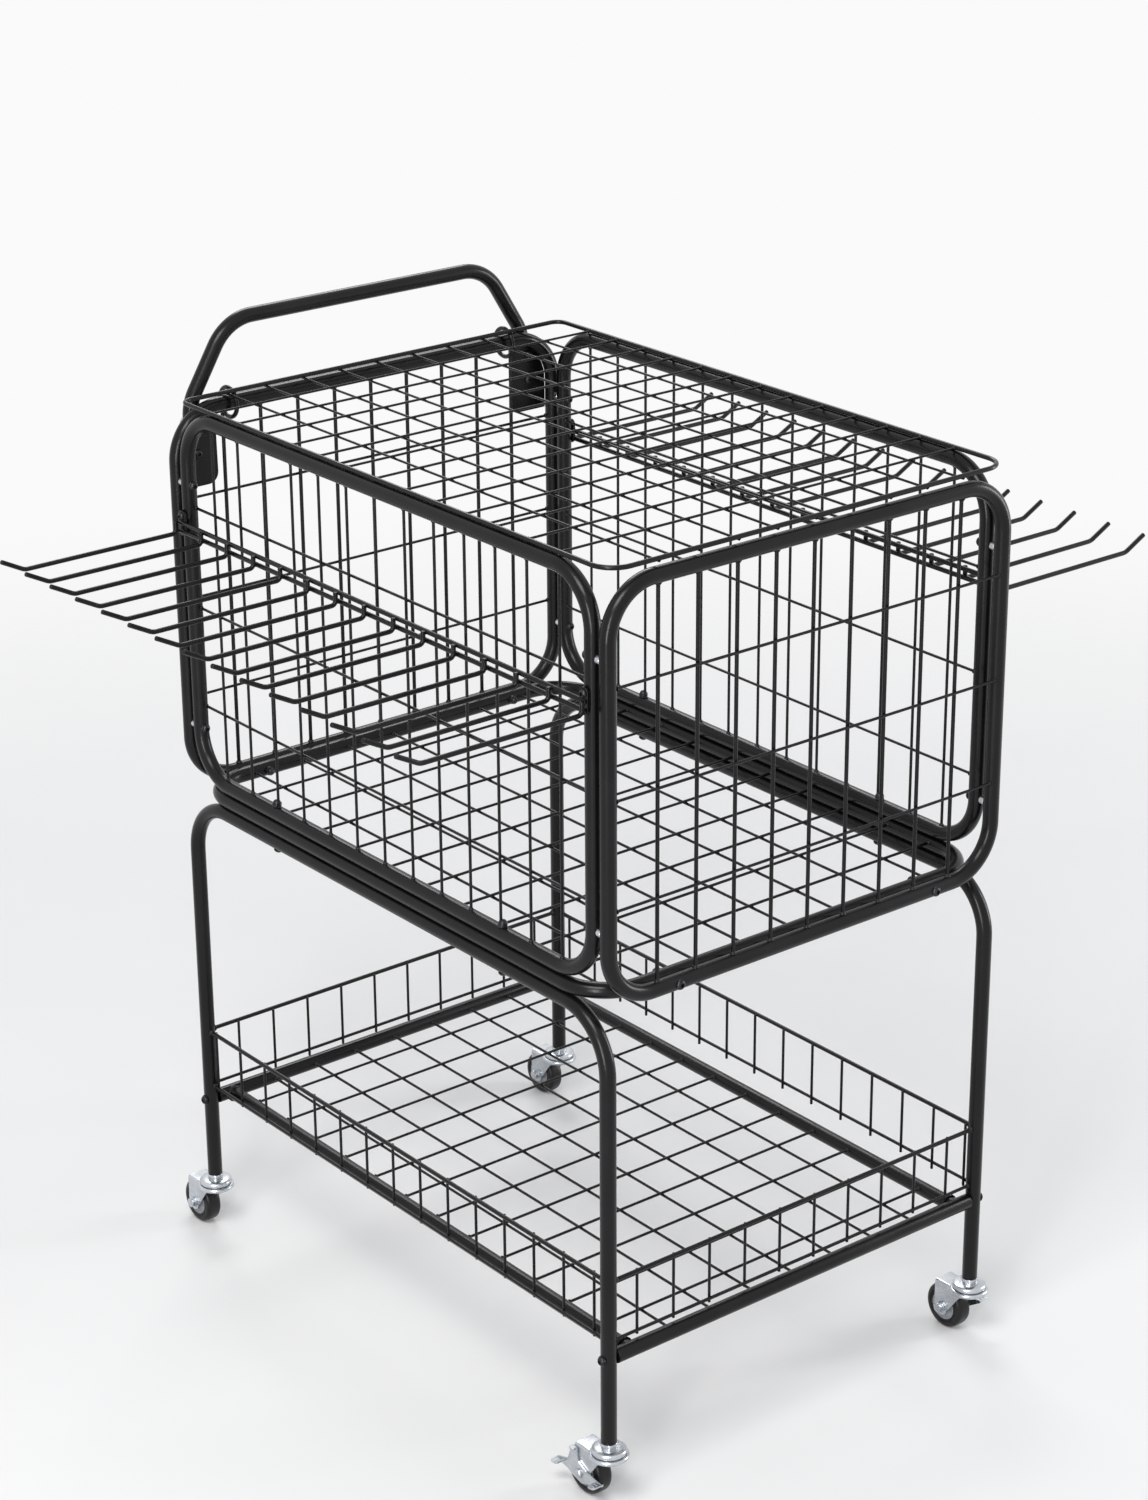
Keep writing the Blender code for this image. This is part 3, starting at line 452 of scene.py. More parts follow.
HOOK_COUNT = 15
HOOK_Z = 0.8271
HOOK_RUN = 0.1781
HOOK_STUB_H = 0.0131
HOOK_STUB_R = 0.005
HOOK_TIP_OUT = 0.026
HOOK_TIP_UP = 0.0136
HOOK_TIP_R = 0.014
RAIL_R = 0.0025
RAIL_PITCH = 0.009
RAIL_TAIL = 0.0039
TAB_T = 0.003
TAB_W = 0.012
TAB_H = 0.027
TAB_R = 0.0055
TAB_SCREW_UP = 0.0183

TRAY_Z = 0.1641
TRAY_RAIL_X = 0.219
TRAY_PITCH = 0.0546
TRAY_EDGE = 0.030
RIM_RISE = 0.0836
FOOT_RISE = 0.0176
RIM_R = 0.00225
FOOT_R = 0.00175
WALL_TAIL = 0.006
SIDE_WALL_PITCH = 0.0469
SIDE_WALL_EDGE = 0.0085
SIDE_WALL_SHIFT = 0.007
END_WALL_PITCH = 0.046

# Casters: heights from the floor, depths from the swivel and widths from the wheel's middle
TRAIL = 0.029
WHEEL_Z = 0.025
WHEEL_HALF = 0.009
FORK_IN = 0.0103
FORK_OUT = 0.0123
FORK_TOP = 0.0555
FORK_T = 0.002
FORK_BEND = 0.003
FORK_EDGE = 0.009
TAPER_DROP = 0.002
WAIST_Y = 0.0029
WAIST_Z = 0.0465
FLARE_H = 0.006
CROWN_R = 0.0202
RACE_R = 0.0177
RACE_TOP = 0.0650
BALL_COUNT = 16
BALL_R = 0.0011
BALL_RING_R = 0.0146
BALL_Z = 0.0587
AXLE_R = 0.0030
AXLE_SEAT = 0.0126
BRAKED_SEAT = 0.0149
LEVER_IN = 0.0126
LEVER_T = 0.002
LEVER_SWING = math.radians(14)

# Radii of the tacks where wires cross
LID_TACK = 0.0011
WIRE_TACK = 0.0013
ROD_TACK = 0.0014
RAIL_TACK = 0.0019
RING_TACK = 0.0024

# Fasteners: heads are (radius, height), nuts (flats, height) and washers (radius, bore, thickness)
SEAT_SINK = 0.0004
BASE_BOLT_X = 0.165
SIDE_BOLT_Y = 0.19
FRAME_HEAD = (0.0052, 0.0034)
FRAME_NUT = (0.0092, 0.0075)
SPACER_INSET = 0.018
SPACER_SINK = 0.0006
SPACER_HEAD = (0.0048, 0.0034)
SPACER_WASHER = (0.0052, 0.002, 0.001)
TRAY_HEAD = (0.005, 0.0031)
TRAY_WASHER = (0.0056, 0.0028, 0.0009)
HANDLE_BOLT_Z = (0.9266, 0.8978)
HANDLE_BOLT_R = 0.003
HANDLE_HEAD = (0.005, 0.0031)
HANDLE_WASHER = (0.0058, 0.003, 0.001)
HANDLE_NUT = (0.010, 0.0042)
RACK_HEAD = (0.0043, 0.0029)


def at(x, y, z):
    """A point given from the middle of the basket."""
    return Vector((x, MID + y, z))


def tack(bm, spot, size):
    """A small resistance weld where two wires cross."""
    profile = [(-size, 0.0), (-size * 0.6, size * 0.72), (0.0, size), (size * 0.6, size * 0.72), (size, 0.0)]
    turned(bm, profile, spot, (0, 0, 1), 8)


# Tube frames with their wires

def weld_end(bm, spot, towards, wire_r, seed):
    """The collar of weld where a wire leaves a tube."""
    bead(bm, spot, towards, wire_r * 1.75, wire_r * 1.5, 12, seed)


def leg_frame(side, word):
    x = side * HALF_X
    bm = bmesh.new()
    corners = [at(x, -LEG_Y, LEG_Z), at(x, -LEG_Y, LEG_TOP), at(x, LEG_Y, LEG_TOP), at(x, LEG_Y, LEG_Z)]
    sweep(bm, bent(corners, [LEG_R] * 2, BEND_STEPS), (1, 0, 0), TUBE_R, TUBE_SIDES, False, 0.0008)
    piece("tube_leg_" + word, bm, COAT, "cart", "leg_frame_" + word)


def tray_floor():
    end_x = HALF_X - TUBE_R - WELD_SINK
    bm = bmesh.new()
    welds = bmesh.new()
    for y in (-LEG_Y, LEG_Y):
        rod(bm, at(-end_x, y, TRAY_Z), at(end_x, y, TRAY_Z), TUBE_R, TUBE_SIDES, 0.0006)
    for x in (-TRAY_RAIL_X, TRAY_RAIL_X):
        rod(bm, at(x, -LEG_Y, TRAY_Z), at(x, LEG_Y, TRAY_Z), TUBE_R - 0.0003, TUBE_SIDES)
        for end in (-1, 1):
            bead(welds, at(x, end * (LEG_Y - TUBE_R), TRAY_Z), (0, -end, 0), TUBE_R + 0.0016, 0.0028,
                 TUBE_SIDES, 3)
    long_x = spread(2 * TRAY_RAIL_X, TRAY_PITCH, TRAY_EDGE)
    for x in long_x:
        rod(bm, at(x, -LEG_Y, TRAY_Z), at(x, LEG_Y, TRAY_Z), WIRE_R, WIRE_SIDES)
        for end in (-1, 1):
            spot = at(x, end * (LEG_Y - TUBE_R + WELD_SINK), TRAY_Z)
            weld_end(welds, spot, (0, -end, 0), WIRE_R, int(x * 1000))
    upper = TRAY_Z + 2 * WIRE_R + LAYER_GAP
    reach = TRAY_RAIL_X - chord(TUBE_R, upper - TRAY_Z) + WELD_SINK
    for y in spread(2 * LEG_Y, TRAY_PITCH, TRAY_EDGE):
        rod(bm, at(-TRAY_RAIL_X, y, upper), at(TRAY_RAIL_X, y, upper), WIRE_R, WIRE_SIDES)
        for end in (-1, 1):
            weld_end(welds, at(end * reach, y, upper), (-end, 0, 0), WIRE_R, int(y * 1000))
        for x in long_x:
            tack(welds, at(x, y, TRAY_Z + WIRE_R), WIRE_TACK)
    piece("tube_tray_floor", bm, COAT, "cart", "tray_floor")
    piece("weld_tray_floor", welds, WELD, "cart")


def tray_wall(name, out, along, plane, corner, places):
    """Low fence of a rim wire and a foot wire, with uprights welded inside them."""
    out = Vector(out)
    along = Vector(along)
    rim_z = TRAY_Z + RIM_RISE
    foot_z = TRAY_Z + FOOT_RISE
    end = corner - TUBE_R - WELD_SINK
    foot_at = plane - RIM_R + FOOT_R
    base = Vector((0, MID, 0))
    bm = bmesh.new()
    welds = bmesh.new()
    for place_at, z, radius in ((plane, rim_z, RIM_R), (foot_at, foot_z, FOOT_R)):
        middle = base + out * place_at + Vector((0, 0, z))
        rod(bm, middle - along * end, middle + along * end, radius, ROD_SIDES)
        for sign in (-1, 1):
            weld_end(welds, middle + along * sign * (end + LAYER_GAP), -along * sign, radius, int(z * 1000))
    upright_at = plane - RIM_R - WIRE_R + 0.0005
    for spot in places:
        foot = base + out * upright_at + along * spot
        rod(bm, foot + Vector((0, 0, foot_z - WALL_TAIL)), foot + Vector((0, 0, rim_z + 0.0004)), WIRE_R,
            WIRE_SIDES, 0.0005)
        for z in (rim_z, foot_z):
            side = base + out * (upright_at + WIRE_R) + along * spot
            tack(welds, side + Vector((0, 0, z - 0.0004)), ROD_TACK)
    piece("wire_" + name, bm, COAT, "cart", name)
    piece("weld_" + name, welds, WELD, "cart")


def tray_walls():
    side_places = spread(2 * (LEG_Y - TUBE_R - GAP), SIDE_WALL_PITCH, SIDE_WALL_EDGE)
    end_places = spread(2 * (HALF_X - TUBE_R - GAP), END_WALL_PITCH, END_WALL_PITCH / 2)
    for name, side in (("tray_wall_left", -1), ("tray_wall_right", 1)):
        places = [p - side * SIDE_WALL_SHIFT for p in side_places]
        tray_wall(name, (side, 0, 0), (0, 1, 0), HALF_X, LEG_Y, places)
    for name, side in (("tray_wall_front", -1), ("tray_wall_rear", 1)):
        tray_wall(name, (0, side, 0), (1, 0, 0), LEG_Y, HALF_X, end_places)


def basket_base():
    corners = [at(-HALF_X, -BASE_Y, BASE_Z), at(HALF_X, -BASE_Y, BASE_Z),
               at(HALF_X, BASE_Y, BASE_Z), at(-HALF_X, BASE_Y, BASE_Z)]
    bm = bmesh.new()
    welds = bmesh.new()
    sweep(bm, bent(corners, [BASE_R] * 4, 16, True), (0, 0, 1), TUBE_R, TUBE_SIDES, True)
    long_x = spread(2 * HALF_X, BASE_PITCH, MESH_EDGE)
    for x in long_x:
        stop = frame_reach(HALF_X, BASE_Y, BASE_R, x)
        rod(bm, at(x, -stop, BASE_Z), at(x, stop, BASE_Z), WIRE_R, WIRE_SIDES)
        for end in (-1, 1):
            spot = at(x, end * (stop - TUBE_R + WELD_SINK), BASE_Z)
            weld_end(welds, spot, (0, -end, 0), WIRE_R, int(x * 999))
    upper = BASE_Z + 2 * WIRE_R + LAYER_GAP
    for y in spread(2 * BASE_Y, BASE_PITCH, MESH_EDGE):
        stop = frame_reach(BASE_Y, HALF_X, BASE_R, y)
        reach = stop - chord(TUBE_R, upper - BASE_Z) + WELD_SINK
        rod(bm, at(-stop, y, upper), at(stop, y, upper), WIRE_R, WIRE_SIDES)
        for end in (-1, 1):
            weld_end(welds, at(end * reach, y, upper), (-end, 0, 0), WIRE_R, int(y * 999))
        for x in long_x:
            tack(welds, at(x, y, BASE_Z + WIRE_R), WIRE_TACK)
    piece("tube_basket_base", bm, COAT, "cart", "basket_base")
    piece("weld_basket_base", welds, WELD, "cart")


def end_panel(word, side):
    """Front or rear wall: uprights in the frame's plane and three rows outside them."""
    y = side * PANEL_Y
    corners = [at(-HALF_X, y, BASE_Z), at(HALF_X, y, BASE_Z),
               at(HALF_X, y, PANEL_TOP), at(-HALF_X, y, PANEL_TOP)]
    bm = bmesh.new()
    welds = bmesh.new()
    sweep(bm, bent(corners, [PANEL_R] * 4, BEND_STEPS, True), (0, 1, 0), TUBE_R, TUBE_SIDES, True)
    half_h = (PANEL_TOP - BASE_Z) / 2
    places = spread(2 * HALF_X, MESH_PITCH, MESH_EDGE)
    for x in places:
        stop = frame_reach(HALF_X, half_h, PANEL_R, x)
        rod(bm, at(x, y, PANEL_MID - stop), at(x, y, PANEL_MID + stop), UPRIGHT_R, 14)
        for end in (-1, 1):
            spot = at(x, y, PANEL_MID + end * (stop - TUBE_R + WELD_SINK))
            weld_end(welds, spot, (0, 0, -end), UPRIGHT_R, int(x * 777))
    lift = UPRIGHT_R + WIRE_R + LAYER_GAP
    outside = y + side * lift
    for row in ROWS:
        stop = frame_reach(half_h, HALF_X, PANEL_R, row)
        reach = stop - chord(TUBE_R, lift) + WELD_SINK
        z = PANEL_MID + row
        rod(bm, at(-stop, outside, z), at(stop, outside, z), WIRE_R, WIRE_SIDES)
        for end in (-1, 1):
            weld_end(welds, at(end * reach, outside, z), (-end, 0, 0), WIRE_R, int(z * 777))
        for x in places:
            tack(welds, at(x, y + side * UPRIGHT_R, z), ROD_TACK)
    piece("tube_panel_" + word, bm, COAT, "cart", "end_panel_" + word)
    piece("weld_panel_" + word, welds, WELD, "cart")


def side_panel(word, side):
    """Long wall: uprights in the frame's plane and three rows inside them."""
    x = side * HALF_X
    corners = [at(x, -SIDE_Y, SIDE_Z), at(x, SIDE_Y, SIDE_Z),
               at(x, SIDE_Y, SIDE_TOP), at(x, -SIDE_Y, SIDE_TOP)]
    bm = bmesh.new()
    welds = bmesh.new()
    sweep(bm, bent(corners, [PANEL_R] * 4, BEND_STEPS, True), (1, 0, 0), TUBE_R, TUBE_SIDES, True)
    half_h = (SIDE_TOP - SIDE_Z) / 2
    mid_z = (SIDE_TOP + SIDE_Z) / 2
    places = spread(2 * SIDE_Y, MESH_PITCH, MESH_EDGE)
    for y in places:
        stop = frame_reach(SIDE_Y, half_h, PANEL_R, y)
        rod(bm, at(x, y, mid_z - stop), at(x, y, mid_z + stop), WIRE_R, WIRE_SIDES)
        for end in (-1, 1):
            spot = at(x, y, mid_z + end * (stop - TUBE_R + WELD_SINK))
            weld_end(welds, spot, (0, 0, -end), WIRE_R, int(y * 555))
    lift = 2 * WIRE_R + LAYER_GAP
    inside = x - side * lift
    for row in ROWS:
        z = PANEL_MID + row
        stop = frame_reach(half_h, SIDE_Y, PANEL_R, z - mid_z)
        reach = stop - chord(TUBE_R, lift) + WELD_SINK
        rod(bm, at(inside, -stop, z), at(inside, stop, z), WIRE_R, WIRE_SIDES)
        for end in (-1, 1):
            weld_end(welds, at(inside, end * reach, z), (0, -end, 0), WIRE_R, int(z * 555))
        for y in places:
            tack(welds, at(x - side * WIRE_R, y, z), WIRE_TACK)
    piece("tube_side_" + word, bm, COAT, "cart", "side_panel_" + word)
    piece("weld_side_" + word, welds, WELD, "cart")


# Fasteners

def button_head(bm, seat, out, radius, height):
    """A domed screw head with a hexagonal socket."""
    seat = Vector(seat)
    out = Vector(out).normalized()
    socket = radius * 0.42
    profile = [(0.0, radius * 0.6), (0.0, radius * 0.97), (height * 0.12, radius),
               (height * 0.35, radius * 0.96), (height * 0.62, radius * 0.84), (height * 0.85, radius * 0.66),
               (height, socket * 1.15), (height, socket), (height * 0.3, socket * 0.98), (height * 0.25, 0.0)]
    turned(bm, profile, seat, out, 24)


def cap_nut(bm, seat, out, flats, height):
    """A domed cap nut: a hexagon with a round crown."""
    out = Vector(out).normalized()
    hexagon(bm, seat, out, flats, height * 0.52)
    dome = flats * 0.46
    steps = [(height * 0.5, dome)]
    for k in range(1, 7):
        t = math.pi / 2 * k / 6
        steps.append((height * 0.5 + height * 0.5 * math.sin(t), dome * math.cos(t) if k < 6 else 0.0))
    turned(bm, [(height * 0.4, 0.0)] + [(height * 0.4, dome)] + steps, seat, out, 24)


def washer(bm, seat, out, radius, bore, thick):
    turned(bm, [(0.0, bore), (0.0, radius - thick * 0.2), (thick * 0.2, radius), (thick * 0.8, radius),
                (thick, radius - thick * 0.2), (thick, bore)], seat, out, 28, True)


def corner_spacers():
    """Spacer and screw at each corner between an end panel and a side panel."""
    spacer = [(0, 0.0024), (0, 0.0042), (0.0004, 0.0046), (0.0054, 0.0046), (0.0058, 0.0042),
              (0.0058, 0.0024)]
    zinc = bmesh.new()
    black = bmesh.new()
    for side in (-1, 1):
        for end in (-1, 1):
            for z in (BASE_Z + PANEL_R + SPACER_INSET, PANEL_TOP - PANEL_R - SPACER_INSET):
                start = at(side * HALF_X, end * (SIDE_Y + TUBE_R - SPACER_SINK), z)
                turned(zinc, spacer, start, (0, end, 0), 24, True)
                seat = at(side * HALF_X, end * (SIDE_Y - TUBE_R + SEAT_SINK), z)
                washer(black, seat, (0, -end, 0), *SPACER_WASHER)
                seat -= Vector((0, end * SPACER_WASHER[2], 0))
                button_head(black, seat, (0, -end, 0), *SPACER_HEAD)
    piece("corner_spacers", zinc, ZINC, "cart", slot="zinc")
    piece("corner_screws", black, BOLT, "cart")


def base_bolts():
    """Bolts from the end panels into the floor frame, and from the legs up into the side panels."""
    bm = bmesh.new()
    for end in (-1, 1):
        for x in (-BASE_BOLT_X, BASE_BOLT_X):
            button_head(bm, at(x, end * (PANEL_Y + TUBE_R - SEAT_SINK), BASE_Z), (0, end, 0), *FRAME_HEAD)
            cap_nut(bm, at(x, end * (BASE_Y - TUBE_R + SEAT_SINK), BASE_Z), (0, -end, 0), *FRAME_NUT)
    for side in (-1, 1):
        for y in (-SIDE_BOLT_Y, SIDE_BOLT_Y):
            button_head(bm, at(side * HALF_X, y, LEG_TOP - TUBE_R + SEAT_SINK), (0, 0, -1), *FRAME_HEAD)
            cap_nut(bm, at(side * HALF_X, y, SIDE_Z + TUBE_R - SEAT_SINK), (0, 0, 1), *FRAME_NUT)
    piece("frame_bolts", bm, BOLT, "cart")


def tray_bolts():
    for side, word in SIDES:
        for end, row in ((-1, "front"), (1, "rear")):
            bm = bmesh.new()
            seat = at(side * (HALF_X + TUBE_R - GAP), end * LEG_Y, TRAY_Z)
            washer(bm, seat, (side, 0, 0), *TRAY_WASHER)
            button_head(bm, seat + Vector((side * TRAY_WASHER[2], 0, 0)), (side, 0, 0), *TRAY_HEAD)
            piece(f"bolt_tray_{row}_{word}", bm, BOLT, "cart", f"tray_bolt_{row}_{word}")


def handle_bolts():
    """Bolts through plate and handle, with their nuts behind and their heads in front."""
    heads = bmesh.new()
    back = HANDLE_Y + TUBE_R
    for side, word in SIDES:
        for z, level in zip(HANDLE_BOLT_Z, ("upper", "lower")):
            bm = bmesh.new()
            x = side * HANDLE_X
            seat = at(x, PANEL_Y + TUBE_R - PLATE_T - LAYER_GAP, z)
            button_head(heads, seat, (0, -1, 0), *HANDLE_HEAD)
            rod(bm, seat, at(x, back + 0.001, z), HANDLE_BOLT_R, ROD_SIDES)
            washer(bm, at(x, back - SEAT_SINK, z), (0, 1, 0), *HANDLE_WASHER)
            hexagon(bm, at(x, back + 0.0006, z), (0, 1, 0), *HANDLE_NUT, (1, 0, 0))
            piece(f"bolt_handle_{word}_{level}", bm, ZINC, "cart", f"handle_bolt_{word}_{level}", slot="zinc")
    piece("heads_handle_bolts", heads, BOLT, "cart")


# Hook racks

def hook_rack(word, side):
    """Two rails with a row of bent hooks in front and a screwed tab behind each end."""
    tab_in = HALF_X + TUBE_R + GAP
    tab_out = tab_in + TAB_T
    rail_x = side * tab_out
    rail_z = HOOK_Z + ROD_R
    rails = (rail_z, rail_z + RAIL_PITCH)
    reach = SIDE_Y + RAIL_TAIL
    bm = bmesh.new()
    welds = bmesh.new()
    for z in rails:
        rod(bm, at(rail_x, -reach, z), at(rail_x, reach, z), RAIL_R, ROD_SIDES, 0.0006)
    root = tab_out + RAIL_R + ROD_R - GAP
    bend = root + HOOK_RUN
    for i in range(HOOK_COUNT):
        y = reach * (2 * i / (HOOK_COUNT - 1) - 1)
        corners = [at(side * root, y, HOOK_Z + HOOK_STUB_H), at(side * root, y, HOOK_Z),
                   at(side * bend, y, HOOK_Z), at(side * (bend + HOOK_TIP_OUT), y, HOOK_Z + HOOK_TIP_UP)]
        sweep(bm, bent(corners, [HOOK_STUB_R, HOOK_TIP_R], 8), (0, 1, 0), ROD_R, ROD_SIDES, False, 0.0008)
        for z in rails:
            tack(welds, at(side * (tab_out + RAIL_R + LAYER_GAP), y, z), RAIL_TACK)
    piece("rod_hook_rack_" + word, bm, COAT, "cart", "hook_rack_" + word)
    tabs = bmesh.new()
    screws = bmesh.new()
    rounds = ((TAB_R, TAB_R, 1.0), (TAB_W - TAB_R, TAB_R, 1.5),
              (TAB_W - TAB_R, TAB_H - TAB_R, 0.0), (TAB_R, TAB_H - TAB_R, 0.5))
    face_x = side * (tab_out - WELD_SINK)
    for end in (-1, 1):
        left = end * SIDE_Y - TAB_W / 2
        low = HOOK_Z - ROD_R
        shape = []
        for across, up, start in rounds:
            for k in range(7):
                a = math.pi * start + math.pi / 2 * k / 6
                shape.append((left + across + TAB_R * math.cos(a), low + up + TAB_R * math.sin(a)))
        start_x = min(side * tab_in, side * tab_out)
        sheet(tabs, shape, (start_x, MID, 0), (0, 1, 0), (0, 0, 1), TAB_T)
        for z in rails:
            bead(welds, at(face_x, end * SIDE_Y, z), (side, 0, 0), 0.0041, 0.0016, 12, 5)
        button_head(screws, at(face_x, end * SIDE_Y, HOOK_Z + TAB_SCREW_UP), (side, 0, 0), *RACK_HEAD)
    piece("tab_hook_rack_" + word, tabs, COAT, "cart", soften=0.0006)
    piece("screw_hook_rack_" + word, screws, BOLT, "cart")
    piece("weld_hook_rack_" + word, welds, WELD, "cart")


# Push handle and its plates

def handle():
    """Bent bar whose shoulders slope down to the legs."""
    half = [(HANDLE_X, HANDLE_FOOT), (HANDLE_X, SHOULDER_Z), (SHOULDER_X, HANDLE_TOP)]
    corners = [at(-x, HANDLE_Y, z) for x, z in half] + [at(x, HANDLE_Y, z) for x, z in half[::-1]]
    radii = [SHOULDER_LOW_R, SHOULDER_HIGH_R, SHOULDER_HIGH_R, SHOULDER_LOW_R]
    bm = bmesh.new()
    sweep(bm, bent(corners, radii, 16), (0, 1, 0), TUBE_R, TUBE_SIDES, False, 0.001)
    piece("tube_handle", bm, COAT, "cart", "handle")


def handle_plug_pair():
    """Moulded plugs in the open ends of the push handle."""
    profile = [(0.0, 0.0), (0.0, 0.0058), (0.0004, 0.0066), (0.0012, 0.0070), (0.006, 0.0070), (0.006, 0.0)]
    bm = bmesh.new()
    for side in (-1, 1):
        start = at(side * HANDLE_X, HANDLE_Y, HANDLE_FOOT)
        turned(bm, profile, start - Vector((0, 0, 0.0009)), (0, 0, 1), 28)
    piece("handle_plugs", bm, TYRE, "cart", slot="coat")


def handle_plate(word, side):
    """Corner plate that follows the panel's bend on its inner side."""
    hug = chord(TUBE_R, TUBE_R - PLATE_T) + LAYER_GAP
    inner = PANEL_R - hug
    bend_x = HALF_X - PANEL_R
    bend_z = PANEL_TOP - PANEL_R
    left = HANDLE_X - PLATE_REACH
    stop = math.acos(max(min((left - bend_x) / inner, 1.0), 0.0))
    shape = []
    for k in range(13):
        a = stop * k / 12
        shape.append((bend_x + inner * math.cos(a), bend_z + inner * math.sin(a)))
    for k in range(9):
        a = math.pi + math.pi / 2 * k / 8
        shape.append((left + PLATE_R + PLATE_R * math.cos(a), HANDLE_FOOT + PLATE_R + PLATE_R * math.sin(a)))
    shape.append((HALF_X - hug, HANDLE_FOOT))
    shape = [(side * x, z) for x, z in shape]
    bm = bmesh.new()
    sheet(bm, shape, (0, MID + PANEL_Y + TUBE_R, 0), (1, 0, 0), (0, 0, 1), PLATE_T)
    piece("plate_handle_" + word, bm, COAT, "cart", "handle_plate_" + word, soften=0.0006)


# Lid

def lid():
    """Wire lid with the two rings that turn on the rear panel's top tube."""
    corners = [at(-HALF_X, LID_FRONT, LID_Z), at(HALF_X, LID_FRONT, LID_Z),
               at(HALF_X, LID_REAR, LID_Z), at(-HALF_X, LID_REAR, LID_Z)]
    radii = [LID_R, LID_R, LID_REAR_R, LID_REAR_R]
    bm = bmesh.new()
    welds = bmesh.new()
    sweep(bm, bent(corners, radii, 12, True), (0, 0, 1), ROD_R, 18, True)
    low = LID_Z - ROD_R - LID_WIRE_R + LID_WIRE_SINK
    long_x = spread(2 * HALF_X, MESH_PITCH, MESH_EDGE)
    for x in long_x:
        front = at(x, LID_FRONT - WELD_SINK, low)
        rod(bm, front, at(x, LID_REAR + ROD_R + LID_WIRE_TAIL, low), LID_WIRE_R, WIRE_SIDES, 0.0003)
        for y in (LID_FRONT, LID_REAR):
            tack(welds, at(x, y, LID_Z - ROD_R + WELD_SINK), ROD_TACK)
    high = low + 2 * LID_WIRE_R + LAYER_GAP
    reach = HALF_X - ROD_R + LAYER_GAP
    for y in spread(2 * SIDE_Y, MESH_PITCH, MESH_EDGE):
        rod(bm, at(-HALF_X, y, high), at(HALF_X, y, high), LID_WIRE_R, WIRE_SIDES)
        for end in (-1, 1):
            weld_end(welds, at(end * reach, y, high), (-end, 0, 0), LID_WIRE_R, int(y * 333))
        for x in long_x:
            tack(welds, at(x, y, (low + high) / 2), LID_TACK)
    piece("wire_lid", bm, COAT, "lid", "lid")
    weld_angle = math.atan2(LID_Z - PANEL_TOP, LID_REAR - PANEL_Y)
    join = Vector((0, math.cos(weld_angle), math.sin(weld_angle)))
    for side, word in SIDES:
        ring = bmesh.new()
        centre = at(side * (HALF_X - RING_INSET), PANEL_Y, PANEL_TOP)
        path = []
        for k in range(48):
            a = 2 * math.pi * k / 48
            out = Vector((0, math.cos(a), math.sin(a)))
            path.append((centre + out * RING_R, Vector((0, -math.sin(a), math.cos(a)))))
        sweep(ring, path, (1, 0, 0), ROD_R, ROD_SIDES, True)
        piece("ring_lid_" + word, ring, COAT, "lid", "lid_ring_" + word)
        tack(welds, centre + join * (RING_R + ROD_R), RING_TACK)
    piece("weld_lid", welds, WELD, "lid")


# Casters

def caster_stem(tag, x, y):
    """Race, rivet head below the crown, nut and stem; profiles are (height, radius)."""
    r = RACE_R
    race = [(0.0590, 0.0), (0.0590, r - 0.0006), (0.0594, r - 0.0002), (0.0600, r), (0.0618, r),
            (0.0628, r * 0.985), (0.0637, r * 0.93), (0.0643, r * 0.84), (0.0647, r * 0.74),
            (RACE_TOP, r * 0.62), (RACE_TOP, 0.0)]
    rivet = [(0.0510, 0.0), (0.0508, 0.0030), (0.0511, 0.0048), (0.0519, 0.0061), (0.0530, 0.0065),
             (0.0532, 0.0065), (0.0532, 0.0040), (0.0592, 0.0040), (0.0592, 0.0)]
    stem = [(0.0700, 0.0), (0.0700, 0.0050), (0.0955, 0.0050), (0.0955, 0.0)]
    bm = bmesh.new()
    turned(bm, race, at(x, y, 0), (0, 0, 1), 48)
    turned(bm, rivet, at(x, y, 0), (0, 0, 1), 32)
    hexagon(bm, at(x, y, RACE_TOP), (0, 0, 1), 0.016, 0.0052, (1, 0, 0), 0.0008)
    turned(bm, stem, at(x, y, 0), (0, 0, 1), 32)
    piece("race_" + tag, bm, ZINC, "cart", "caster_stem_" + tag, slot="zinc")
    ball = [(-BALL_R * math.cos(t), BALL_R * math.sin(t)) for t in (0.0, 0.5, 1.05, 1.57, 2.09, 2.64)]
    balls = bmesh.new()
    for k in range(BALL_COUNT):
        a = 2 * math.pi * k / BALL_COUNT
        centre = at(x + BALL_RING_R * math.cos(a), y + BALL_RING_R * math.sin(a), BALL_Z)
        turned(balls, ball + [(BALL_R, 0.0)], centre, (0, 0, 1), 10)
    piece("balls_" + tag, balls, ZINC, "fork_" + tag, slot="zinc")


def cheek_reach(z):
    """Front and back edge of the fork's cheek at a height, from the swivel."""
    if z < WHEEL_Z:
        half = chord(FORK_EDGE, WHEEL_Z - z)
        return TRAIL - half, TRAIL + half
    front = TRAIL - FORK_EDGE
    low = WHEEL_Z - TAPER_DROP
    front += (WAIST_Y - front) * min((z - low) / (WAIST_Z - low), 1.0)
    if z > WAIST_Z:
        t = min((z - WAIST_Z) / FLARE_H, 1.0)
        front = WAIST_Y + (-FORK_EDGE - WAIST_Y) * t * t * (3 - 2 * t)
    return front, TRAIL + FORK_EDGE


